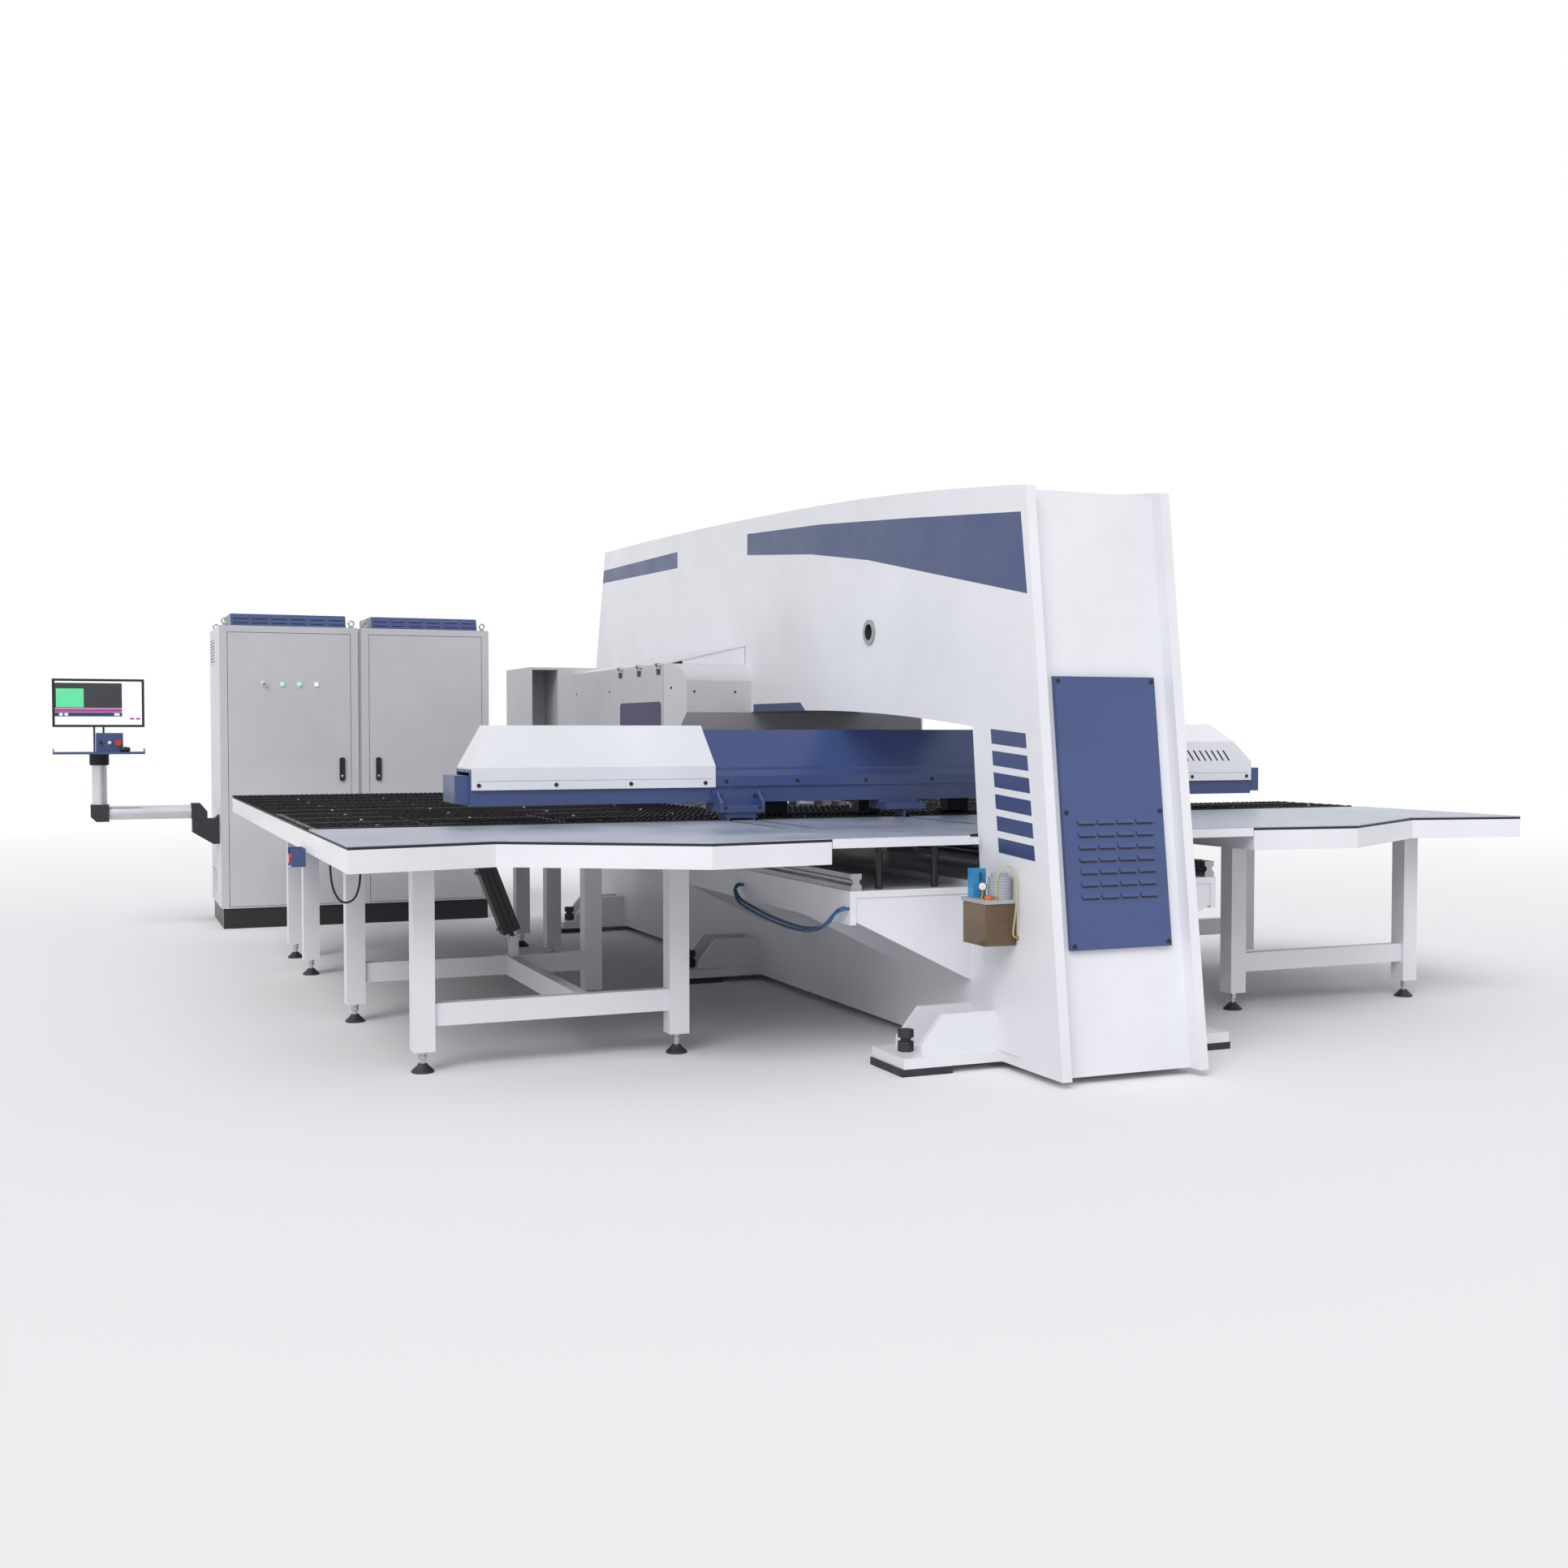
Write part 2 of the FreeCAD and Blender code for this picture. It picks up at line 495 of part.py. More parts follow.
def frame_plates():
    """Cross plates welded between the side plates."""
    web = d.web_t
    width = inner * 2
    top_z = d.near_top_z - d.top_plate_drop
    low_z = top_z - web
    recess = d.end_plate_recess
    floor_top = d.throat_top_z + web
    deck_low = d.deck_z - web
    base_top = d.frame_lift + web
    far_y = d.far_knee_y - recess
    far_top_y = d.far_top_y - recess
    far_top_z = d.far_top_z - d.top_plate_drop
    crown_top = d.crown_z - d.top_plate_drop
    near_end = [(recess, d.frame_lift), (recess + web, d.frame_lift),
                (near_edge(top_z) + recess + web, top_z), (near_edge(top_z) + recess, top_z)]
    roof = [(near_edge(low_z) + recess + web, low_z, d.crown_near_radius, "left"),
            (d.crown_y, crown_top - web, d.crown_far_radius, "left"),
            (far_top_y - web, far_top_z - web),
            (far_top_y - web, far_top_z, d.crown_far_radius, "right"),
            (d.crown_y, crown_top, d.crown_near_radius, "right"),
            (near_edge(top_z) + recess + web, top_z)]
    arm_floor = [(d.throat_near_top_y, d.throat_near_top_z, d.throat_radius, "left"),
                 (d.throat_arc_end_y, d.throat_top_z), (d.throat_far_y, d.throat_top_z),
                 (d.throat_far_y, floor_top),
                 (d.throat_arc_end_y, floor_top, d.throat_radius, "right"),
                 (d.throat_near_top_y, d.throat_near_top_z + web)]
    near_throat = [(d.throat_near_low_y - web, d.deck_z), (d.throat_near_low_y, d.deck_z),
                   (d.throat_near_top_y, d.throat_near_top_z),
                   (d.throat_near_top_y, d.throat_near_top_z + web),
                   (d.throat_near_top_y - web, d.throat_near_top_z + web)]
    far_end = [(far_y - web, base_top), (far_y - web, d.frame_lift),
               (far_y, d.frame_lift), (far_y, d.far_knee_z), (far_top_y, far_top_z),
               (far_top_y - web, far_top_z), (far_top_y - web, far_top_z - web),
               (far_y - web, d.far_knee_z)]
    floor = [(recess + web, d.frame_lift), (far_y - web, d.frame_lift),
             (far_y - web, base_top), (near_edge(base_top) + recess + web, base_top)]
    plates = [pad("YZ", -inner, width, outline)
              for outline in (near_end, roof, arm_floor, near_throat, far_end, floor)]
    across = (-inner, inner)
    plates.append(span_box(across, (d.throat_near_low_y - web, d.throat_far_y),
                           (deck_low, d.deck_z)))
    plates.append(span_box(across, (d.throat_far_y, d.throat_far_y + web),
                           (deck_low, floor_top)))
    for share in (0.4, 0.7):
        rib_y = d.throat_near_low_y + (d.throat_far_y - d.throat_near_low_y) * share
        rib = (rib_y, rib_y + web)
        plates.append(span_box(across, rib, (base_top, deck_low)))
        plates.append(span_box(across, rib, (floor_top, crown_top - web * 4)))
    return node("frame_plates", group(*plates))


def lifting_bushes():
    """Lined holes for the bar that slings go round."""
    length = d.side_plate_t + d.lift_bush_proud
    bush = cut(rod(-outer - d.lift_bush_proud, d.lift_y, d.lift_z, "X", d.lift_bush_r,
                   length),
               rod(-outer - d.lift_bush_proud, d.lift_y, d.lift_z, "X", d.lift_bore_r,
                   length))
    return node("lifting_bushes", group(*both_sides(bush)))


def vent_panel():
    """Louvred panel on the near end plate, leaning with it."""
    back = d.end_plate_recess
    front = back - d.panel_t
    face = front - d.louvre_proud
    low = d.panel_base_z
    top = low + d.panel_height
    half = d.panel_width / 2
    panel = pad("YZ", -half, d.panel_width,
                [(near_edge(low) + front, low), (near_edge(low) + back, low),
                 (near_edge(top) + back, top), (near_edge(top) + front, top)])
    first_x = -(d.louvre_w + d.louvre_pitch_x * (count("louvre_columns") - 1)) / 2 \
        + d.louvre_shift_x
    span = d.louvre_pitch_x * (count("louvre_columns") - 1) + d.louvre_w
    hoods = []
    for index in range(count("louvre_rows")):
        z = low + d.louvre_first_z + d.louvre_pitch_z * index
        hoods.append(pad("YZ", first_x, span,
                         [(near_edge(z) + face, z),
                          (near_edge(z) + front, z),
                          (near_edge(z + d.louvre_h) + front, z + d.louvre_h)]))
    gaps = []
    gap_low = low + d.louvre_first_z
    gap_high = gap_low + d.louvre_pitch_z * count("louvre_rows")
    for index in range(count("louvre_columns") - 1):
        x = first_x + d.louvre_w + d.louvre_pitch_x * index
        gaps.append(pad("YZ", x, d.louvre_pitch_x - d.louvre_w,
                        [(near_edge(gap_low) + face, gap_low),
                         (near_edge(gap_low) + front, gap_low),
                         (near_edge(gap_high) + front, gap_high),
                         (near_edge(gap_high) + face, gap_high)]))
    return node("vent_panel", group(fuse(panel, cut(fuse(*hoods), fuse(*gaps)))))


FOOT_ALIASES = ("foot_near_y", "foot_mid_y", "foot_far_y")


def foot_brackets():
    brackets = []
    for alias in FOOT_ALIASES:
        y = getattr(d, alias)
        bolt_x = -outer - d.foot_reach + d.bolt_inset
        base_top = d.frame_lift + d.foot_base_t
        base = pad("XY", d.frame_lift, d.foot_base_t,
                   rectangle((-outer - d.foot_reach, -outer), (y, y + d.foot_span)),
                   holes=[polygon(bolt_x, y + d.foot_span / 2, d.bolt_hole_r, 8)])
        gusset = [(-outer, base_top), (-outer, d.gusset_top_z),
                  (-outer - d.gusset_flat, d.gusset_top_z),
                  (-outer - d.gusset_reach, base_top + d.gusset_nose),
                  (-outer - d.gusset_reach, base_top)]
        gusset_y = y + d.gusset_inset
        first = pad("XZ", gusset_y, d.gusset_t, gusset)
        second = pad("XZ", gusset_y + d.gusset_pitch, d.gusset_t, gusset)
        for plate in (base, first, second):
            brackets += both_sides(plate)
    return node("foot_brackets", group(*brackets))


def polygon(x, y, radius, sides):
    """Corners of a regular polygon on a circle."""
    corners = []
    for step in range(sides):
        angle = 2 * math.pi * (step + 0.5) / sides
        corners.append((x + radius * round(math.cos(angle), 6),
                        y + radius * round(math.sin(angle), 6)))
    return corners


def leveling_bolts():
    bolts = []
    x = -outer - d.foot_reach + d.bolt_inset
    nut_z = d.frame_lift + d.foot_base_t
    head_z = nut_z + d.bolt_nut_t + d.bolt_gap
    for alias in FOOT_ALIASES:
        y = getattr(d, alias) + d.foot_span / 2
        shank = pad("XY", d.frame_lift, head_z - d.frame_lift,
                    polygon(x, y, d.bolt_shank_r, 8))
        nut = pad("XY", nut_z, d.bolt_nut_t, polygon(x, y, d.bolt_head_r, 6))
        head = pad("XY", head_z, d.bolt_head_t, polygon(x, y, d.bolt_head_r, 6))
        bolts += both_sides(fuse(shank, nut, head))
    return node("leveling_bolts", group(*bolts))


def foot_pads():
    pads = []
    for alias in FOOT_ALIASES:
        y = getattr(d, alias)
        far_x = -outer - d.foot_reach - d.bolt_gap / 2
        pads += both_sides(box(far_x, y, 0, d.pad_reach, d.foot_span, d.frame_lift))
    return node("foot_pads", group(*pads))


# ------------------------------------------------------- consoles, rails, Y drive

def consoles():
    top_low = d.console_top_z - d.console_plate_t
    reach = outer + d.console_reach
    y_pair = (d.console_near_y, d.console_near_y + d.console_length)
    top = span_box((-reach, -outer), y_pair, (top_low, d.console_top_z))
    apron = span_box((-reach, -reach + d.console_plate_t), y_pair,
                     (d.console_apron_z, top_low))
    rib = [(-outer, d.console_root_z),
           (-reach + d.console_plate_t, d.console_apron_z + d.console_rib_foot),
           (-reach + d.console_plate_t, top_low), (-outer, top_low)]
    pieces = [top, apron]
    for index in range(count("console_ribs")):
        y = d.console_near_y + d.console_rib_inset + d.console_rib_pitch * index
        pieces.append(pad("XZ", y, d.console_rib_t, rib))
    plates = []
    for piece in pieces:
        plates += both_sides(piece)
    return node("consoles", group(*plates))


def y_rails():
    """Guide rails with a waisted section."""
    half = d.rail_w / 2
    neck = d.rail_neck / 2
    low = d.console_top_z
    profile = [(half, low), (half, low + d.rail_h * 0.3), (neck, low + d.rail_h * 0.45),
               (neck, low + d.rail_h * 0.6), (half, low + d.rail_h * 0.72),
               (half, low + d.rail_h)]
    section = [(-d.rail_offset + u, v) for u, v in profile]
    section += [(-d.rail_offset - u, v) for u, v in reversed(profile)]
    rail = pad("XZ", d.console_near_y + d.console_rib_inset, d.rail_length, section)
    return node("y_rails", group(*both_sides(rail)))


def y_drive():
    """Motor and the two blocks that carry the ball screw."""
    half = d.block_w / 2
    motor_half = d.motor_w / 2
    near_far = d.screw_near_y
    near_near = near_far - d.block_t
    motor_y = near_near - d.motor_gap - d.motor_length
    bell_half = d.block_w * 0.4
    bore = d.screw_r + d.shaft_clearance
    near_block = span_box((-half, half), (near_near, near_far), (d.deck_z, d.screw_z + half))
    near_block = cut(near_block, rod(0, near_near, d.screw_z, "Y", bore, d.block_t))
    bell = span_box((-bell_half, bell_half), (near_near - d.motor_gap, near_near),
                    (d.screw_z - bell_half, d.screw_z + bell_half))
    motor = span_box((-motor_half, motor_half), (motor_y, motor_y + d.motor_length),
                     (d.deck_z, d.screw_z + motor_half))
    far_block = span_box((-half, half), (d.screw_far_y, d.screw_far_y + d.block_t),
                         (d.deck_z, d.screw_z + half))
    far_block = cut(far_block, rod(0, d.screw_far_y, d.screw_z, "Y", bore, d.block_t))
    return node("y_drive", group(fuse(near_block, bell, motor), far_block))


def y_ball_screw():
    start = d.screw_near_y - d.block_t + 1
    length = d.screw_far_y + d.block_t - 1 - start
    return node("y_ball_screw", group(rod(0, start, d.screw_z, "Y", d.screw_r, length)))


# ------------------------------------------------------------------------ tables

board_top = d.table_top_z - d.sheet_t
skirt_top = board_top - d.board_t
skirt_low = skirt_top - d.skirt_h


def kink_y(x):
    """Y of the slanted stretch of the table's near edge at a distance from the middle."""
    run = (x - d.table_kink_in_x) / (d.table_kink_out_x - d.table_kink_in_x)
    return d.table_kink_in_y + (d.table_kink_out_y - d.table_kink_in_y) * run


def wing_outline(side, far_y, back_x):
    """Plan of a side table; back_x is its outer edge past the wing's far end."""
    corners = [(side * d.table_in_x, d.table_in_y),
               (side * d.table_kink_in_x, d.table_kink_in_y),
               (side * d.table_kink_out_x, d.table_kink_out_y),
               (side * d.table_half, d.table_corner_y),
               (side * d.table_half, far_y)]
    if back_x is not None:
        corners += [(side * back_x, far_y), (side * back_x, d.table_far_y)]
    corners.append((side * d.table_in_x, d.table_far_y))
    return corners


def wing_hollow(side, far_y, back_x):
    """The same plan, smaller by the skirt's thickness."""
    wall = d.skirt_wall
    corners = [(side * (d.table_in_x + wall), d.table_in_y + wall * 0.95),
               (side * d.table_kink_in_x, d.table_kink_in_y + wall * 1.1),
               (side * (d.table_kink_out_x - wall * 0.1), d.table_kink_out_y + wall * 1.1),
               (side * (d.table_half - wall), d.table_corner_y + wall * 1.25),
               (side * (d.table_half - wall), far_y - wall)]
    if back_x is not None:
        corners += [(side * (back_x - wall), far_y - wall),
                    (side * (back_x - wall), d.table_far_y - wall)]
    corners.append((side * (d.table_in_x + wall), d.table_far_y - wall))
    return corners


trap_hole = [(-d.trap_out_x - d.trap_gap, d.trap_near_y - d.trap_gap),
             (-d.trap_in_x + d.trap_gap, d.trap_near_y - d.trap_gap),
             (-d.trap_in_x + d.trap_gap, d.trap_far_y + d.trap_gap),
             (-d.trap_out_x - d.trap_gap, d.trap_far_y + d.trap_gap)]
hinge_z = skirt_top - d.trap_pin_r - 2


def table_skirts():
    """Rims of the side tables with the bars that carry the boards."""
    member_z = (skirt_top - d.member_h, skirt_top)
    wall = d.skirt_wall
    left_pair = (-d.table_half + wall, -d.table_in_x - wall)
    left = [pad("XY", skirt_low, d.skirt_h, wing_outline(-1, d.table_far_y, None),
                holes=[wing_hollow(-1, d.table_far_y, None)])]
    half = d.leg_w / 2
    for alias in ("leg_front_y", "leg_row3_y", "leg_row4_y"):
        y = getattr(d, alias)
        left.append(span_box(left_pair, (y - half, y + half), member_z))
    left.append(span_box(left_pair, (d.trap_near_y - d.trap_gap - wall,
                                     d.trap_near_y - d.trap_gap), member_z))
    left.append(span_box(left_pair, (d.trap_far_y + d.trap_gap,
                                     d.trap_far_y + d.trap_gap + wall), member_z))
    for alias in ("leg_far_out_x", "leg_in_x"):
        x = getattr(d, alias)
        left.append(span_box((-x - half, -x + half),
                             (d.trap_near_y - d.trap_gap, d.trap_far_y + d.trap_gap),
                             member_z))
    left = cut(fuse(*left), rod(-d.trap_in_x, d.trap_near_y - wall, hinge_z, "Y",
                                d.trap_pin_r + d.bush_clearance,
                                d.trap_far_y - d.trap_near_y + wall * 2))
    right = [pad("XY", skirt_low, d.skirt_h,
                 wing_outline(1, d.right_wing_y, d.right_back_x),
                 holes=[wing_hollow(1, d.right_wing_y, d.right_back_x)])]
    for alias, far_x in (("leg_front_y", d.table_half), ("leg_row2_y", d.table_half),
                         ("leg_row3_y", d.right_back_x), ("leg_row4_y", d.right_back_x)):
        y = getattr(d, alias)
        right.append(span_box((d.table_in_x + wall, far_x - wall),
                              (y - half, y + half), member_z))
    return node("table_skirts", group(left, fuse(*right)))


def centre_table():
    """Frame of the table inside the throat, with a thin apron on its near edge."""
    bar = d.skirt_wall
    low = d.table_top_z - d.centre_skirt_h
    z_pair = (low, skirt_top)
    edge_x = d.table_in_x - 3
    apron_t = d.sheet_t
    near = d.table_in_y + apron_t
    bars = [span_box((d.centre_notch_x, edge_x), (near, near + bar), z_pair),
            span_box((-edge_x, -d.centre_notch_x), (near, near + bar), z_pair),
            span_box((-d.centre_notch_x, d.centre_notch_x),
                     (d.notch_y, d.notch_y + bar), z_pair),
            span_box((-edge_x, edge_x), (d.slot_near_y - bar * 3, d.slot_near_y - bar * 2),
                     z_pair),
            span_box((-edge_x, edge_x), (d.slot_far_y + bar / 2, d.slot_far_y + bar * 1.5),
                     z_pair)]
    for side in (-1, 1):
        lanes = ((d.centre_notch_x, near, d.centre_far_y),
                 (d.post_out_x + bar / 2, near, d.centre_far_y),
                 (edge_x, near, d.centre_arm_far_y),
                 (d.centre_arm_x + bar, d.slot_far_y, d.centre_arm_far_y))
        for lane_x, start, end in lanes:
            x = side * (lane_x - bar / 2) - bar / 2
            bars.append(span_box((x, x + bar), (start, end), z_pair))
        ends = sorted((side * d.centre_arm_x, side * edge_x), key=lambda size: size.value)
        bars.append(span_box(ends, (d.centre_arm_far_y - bar, d.centre_arm_far_y), z_pair))
        ends = sorted((side * d.centre_notch_x, side * edge_x), key=lambda size: size.value)
        bars.append(span_box(ends, (d.table_in_y, near), (low, board_top)))
    return node("centre_table", group(fuse(*bars)))


def brush_rows(x_low, x_high, near_y, far_y):
    """Rows of bristles across a board, one ridge a row."""
    pitch = d.bristle_row_pitch.value
    rows = int((far_y.value - near_y.value - d.bristle_row_w.value) // pitch) + 1
    return [box(x_low, near_y + d.bristle_row_pitch * index, board_top, x_high - x_low,
                d.bristle_row_w, d.bristle_h) for index in range(rows)]


def brush_boards():
    """Black boards: bare under the steel sheets, with bristle rows behind them."""
    inset = d.bristle_inset
    edge_x = d.table_in_x - 3
    near = d.sheet_far_y + inset
    near_trap = near + d.bristle_row_pitch
    past_trap = near + d.bristle_row_pitch * 4
    left = pad("XY", skirt_top, d.board_t, wing_outline(-1, d.table_far_y, None),
               holes=[trap_hole])
    left_rows = brush_rows(-d.table_half + inset, -d.table_in_x - inset, near, near_trap)
    for low, high in ((-d.table_half + inset, -d.trap_out_x - inset),
                      (-d.trap_in_x + inset, -d.table_in_x - inset)):
        left_rows += brush_rows(low, high, near_trap, past_trap)
    left_rows += brush_rows(-d.table_half + inset, -d.table_in_x - inset, past_trap,
                            d.table_far_y)
    right = pad("XY", skirt_top, d.board_t,
                wing_outline(1, d.right_wing_y, d.right_back_x))
    right_rows = brush_rows(d.table_in_x + inset, d.table_half - inset, near,
                            d.right_wing_y)
    right_rows += brush_rows(d.table_in_x + inset, d.right_back_x - inset,
                             near + d.bristle_row_pitch * 3, d.table_far_y)
    near_y = d.table_in_y + d.sheet_t
    strip = d.strip_w / 2
    outline = [(-edge_x, near_y), (-d.centre_notch_x, near_y),
               (-d.centre_notch_x, d.notch_y), (d.centre_notch_x, d.notch_y),
               (d.centre_notch_x, near_y), (edge_x, near_y),
               (edge_x, d.centre_arm_far_y), (d.centre_arm_x, d.centre_arm_far_y),
               (d.centre_arm_x, d.centre_far_y), (-d.centre_arm_x, d.centre_far_y),
               (-d.centre_arm_x, d.centre_arm_far_y), (-edge_x, d.centre_arm_far_y)]
    slots = [rectangle((-d.screw_slot_w / 2, d.screw_slot_w / 2),
                       (d.slot_near_y, d.slot_far_y))]
    centre_rows = []
    for side in (-1, 1):
        for start in (strip, -strip - d.slot_w):
            low = side * d.rail_offset + start
            slots.append(rectangle((low, low + d.slot_w), (d.slot_near_y, d.slot_far_y)))
        inner_edge = d.screw_slot_w
        outer_edge = d.rail_offset - strip - d.slot_w - inset / 2
        for low, high in ((inner_edge, outer_edge),
                          (d.rail_offset - strip + inset / 2,
                           d.rail_offset + strip - inset / 2)):
            pair = sorted((side * low, side * high), key=lambda size: size.value)
            centre_rows += brush_rows(pair[0], pair[1], near, d.slot_far_y)
    centre = pad("XY", skirt_top, d.board_t, outline, holes=slots)
    return node("brush_boards", group(fuse(left, *left_rows), fuse(right, *right_rows),
                                      fuse(centre, *centre_rows)))


def table_sheets():
    """Steel sheets laid on the near part of the boards."""
    gap = d.sheet_gap / 2
    far = d.sheet_far_y
    strip = d.strip_w / 2
    seam = d.sheet_seam_x
    seam_y = kink_y(seam)
    notch = d.centre_notch_x
    near = d.table_in_y
    slot_out = d.sheet_in_x
    slot_in = d.rail_offset - strip - d.slot_w
    inner_sheet = [(slot_out + gap, near), (d.table_in_x, near),
                   (d.table_kink_in_x, d.table_kink_in_y), (seam - gap, seam_y),
                   (seam - gap, far), (slot_out + gap, far)]
    outer_sheet = [(seam + gap, seam_y), (d.table_kink_out_x, d.table_kink_out_y),
                   (d.table_half, d.table_corner_y), (d.table_half, far),
                   (seam + gap, far)]
    strip_sheet = [(slot_in + gap, near), (slot_out - gap, near),
                   (slot_out - gap, d.slot_near_y),
                   (d.rail_offset + strip, d.slot_near_y), (d.rail_offset + strip, far),
                   (d.rail_offset - strip, far), (d.rail_offset - strip, d.slot_near_y),
                   (slot_in + gap, d.slot_near_y)]
    throat_sheet = [(inner + gap, d.notch_y), (notch, d.notch_y), (notch, near),
                    (slot_in - gap, near), (slot_in - gap, far), (inner + gap, far)]
    half_slot = d.screw_slot_w / 2
    middle_sheet = [(-inner + gap, d.notch_y), (inner - gap, d.notch_y),
                    (inner - gap, far), (half_slot, far), (half_slot, d.slot_near_y),
                    (-half_slot, d.slot_near_y), (-half_slot, far), (-inner + gap, far)]
    sheets = [pad("XY", board_top, d.sheet_t, middle_sheet)]
    for outline in (inner_sheet, outer_sheet, strip_sheet, throat_sheet):
        sheets += both_sides(pad("XY", board_top, d.sheet_t, outline))
    return node("table_sheets", group(*sheets))


LEGS = (
    (-1, "leg_out_x", "leg_front_y"), (-1, "leg_in_x", "leg_front_y"),
    (-1, "leg_far_out_x", "leg_row2_y"), (-1, "leg_in_x", "leg_row2_y"),
    (-1, "leg_far_out_x", "leg_row3_y"), (-1, "leg_far_in_x", "leg_row3_y"),
    (-1, "leg_far_out_x", "leg_row4_y"), (-1, "leg_far_in_x", "leg_row4_y"),
    (1, "leg_out_x", "leg_front_y"), (1, "leg_in_x", "leg_front_y"),
    (1, "leg_out_x", "leg_row2_y"), (1, "leg_in_x", "leg_row2_y"),
    (1, "right_leg_x", "leg_row3_y"), (1, "leg_far_in_x", "leg_row3_y"),
    (1, "right_leg_x", "leg_row4_y"), (1, "leg_far_in_x", "leg_row4_y"),
)


def leg_places():
    return [(side * getattr(d, x_alias), getattr(d, y_alias))
            for side, x_alias, y_alias in LEGS]


def table_legs():
    """Square legs, the stretchers between them and the clevis for the cylinder."""
    half = d.leg_w / 2
    top = skirt_top - d.member_h
    pieces = [span_box((x - half, x + half), (y - half, y + half), (d.leg_z, top))
              for x, y in leg_places()]
    bar = d.stretcher_w / 2
    z_pair = (d.stretcher_z, d.stretcher_z + d.stretcher_h)
    for side in (-1, 1):
        for y_alias, far_alias in (("leg_front_y", "leg_out_x"),
                                   ("leg_row2_y", "leg_far_out_x" if side < 0
                                    else "leg_out_x")):
            y = getattr(d, y_alias)
            ends = sorted((side * (d.leg_in_x + half),
                           side * (getattr(d, far_alias) - half)),
                          key=lambda size: size.value)
            pieces.append(span_box(ends, (y - bar, y + bar), z_pair))
    pieces.append(span_box((-d.cross_x - bar, -d.cross_x + bar),
                           (d.leg_front_y + bar, d.leg_row2_y - bar), z_pair))
    cheek = d.trap_lug_t
    clevis = []
    for step in (-1, 1):
        start = d.cyl_y + step * (d.eye_t / 2 + 1 + cheek / 2) - cheek / 2
        clevis.append(span_box((-d.cyl_foot_x - d.trap_lug_w / 2,
                                -d.cyl_foot_x + d.trap_lug_w / 2), (start, start + cheek),
                               (d.stretcher_z + d.stretcher_h,
                                d.cyl_foot_z + d.trap_lug_w / 2)))
    clevis.append(rod(-d.cyl_foot_x, d.cyl_y - d.eye_t / 2 - 1 - cheek, d.cyl_foot_z, "Y",
                      d.trap_pin_r, d.eye_t + 2 + cheek * 2))
    return node("table_legs", group(*pieces, fuse(*clevis)))


def frustum(x, y, turn):
    """A square foot narrowing upwards, turned about its own middle."""
    block = new_object("Part::Wedge", "Frustum")
    upright = FreeCAD.Rotation(FreeCAD.Vector(1, 0, 0), 90)
    about = FreeCAD.Rotation(FreeCAD.Vector(0, 0, 1), turn)
    block.Placement = FreeCAD.Placement(FreeCAD.Vector(), about.multiply(upright))
    low = d.foot_pad_w / 2
    top = d.foot_top_w / 2
    for path, size in (("Xmin", -low), ("Xmax", low), ("Zmin", -low), ("Zmax", low),
                       ("X2min", -top), ("X2max", top), ("Z2min", -top), ("Z2max", top),
                       ("Ymin", 0), ("Ymax", d.foot_pad_h), ("Placement.Base.x", x),
                       ("Placement.Base.y", y)):
        bind(block, path, size)
    return block


def table_feet():
    """Levelling feet: an eight-sided cone on the floor and a stud up into the leg."""
    feet = []
    for x, y in leg_places():
        cone_foot = common(frustum(x, y, 0), frustum(x, y, 45))
        stud = pad("XY", d.foot_pad_h, d.leg_z - d.foot_pad_h,
                   polygon(x, y, d.foot_stud_r, 6))
        feet.append(fuse(cone_foot, stud))
    return node("table_feet", group(*feet))


def table_posts():
    low = d.console_top_z
    height = d.table_top_z - d.centre_skirt_h - low
    posts = []
    for x_alias in ("post_out_x", "post_in_x"):
        for y in (d.post_y, d.post_far_y):
            posts += both_sides(pad("XY", low, height,
                                    polygon(-getattr(d, x_alias), y, d.post_r, 8)))
    return node("table_posts", group(*posts))


# ---------------------------------------------------------------------- carriage

cover_end_x = d.beam_half - d.centre_inset


def x_beam():
    """Box beam across the frame, closed by an end cap on each side."""
    far = d.beam_near_y + d.beam_depth
    wall = d.beam_end_t
    tube = pad("YZ", -d.beam_half, d.beam_half * 2,
               rectangle((d.beam_near_y, far), (d.beam_low_z, d.beam_top_z)),
               holes=[rectangle((d.beam_near_y + wall, far - wall),
                                (d.beam_low_z + wall, d.beam_top_z - wall))])
    cap_z = d.beam_low_z + wall
    caps = []
    for start in (-d.beam_half - d.beam_end_reach, d.beam_half):
        caps.append(span_box((start, start + d.beam_end_reach),
                             (d.beam_near_y + wall, far - wall),
                             (cap_z, cap_z + d.beam_end_h)))
    return node("x_beam", group(fuse(tube, *caps)))


def beam_envelope():
    far = d.beam_near_y + d.beam_depth
    return span_box((-d.table_half, d.table_half), (d.beam_near_y, far),
                    (d.beam_low_z, d.beam_top_z))


def sheet_cover(front, near_y, low_z, fold_z, top_z, front_hollow):
    """A folded sheet hood over the beam, from its front view and its section."""
    wall = d.cover_wall
    back = d.beam_near_y + d.beam_depth
    back_z = d.beam_top_z + wall
    section = [(near_y, low_z), (back, low_z), (back, back_z), (d.cover_far_y, back_z),
               (d.cover_top_far_y, top_z), (d.cover_top_near_y, top_z), (near_y, fold_z)]
    hollow = [(near_y + wall, low_z - wall), (d.cover_far_y - wall, low_z - wall),
              (d.cover_far_y - wall, back_z), (d.cover_top_far_y - wall, top_z - wall),
              (d.cover_top_near_y + wall * 0.6, top_z - wall),
              (near_y + wall, fold_z - wall * 0.4)]
    reach = d.table_half
    solid = common(pad("YZ", -reach, reach * 2, section),
                   pad("XZ", near_y, d.cover_far_y - near_y, front))
    space = common(pad("YZ", -reach, reach * 2, hollow),
                   pad("XZ", near_y, d.cover_far_y - near_y, front_hollow))
    return cut(solid, space, beam_envelope())


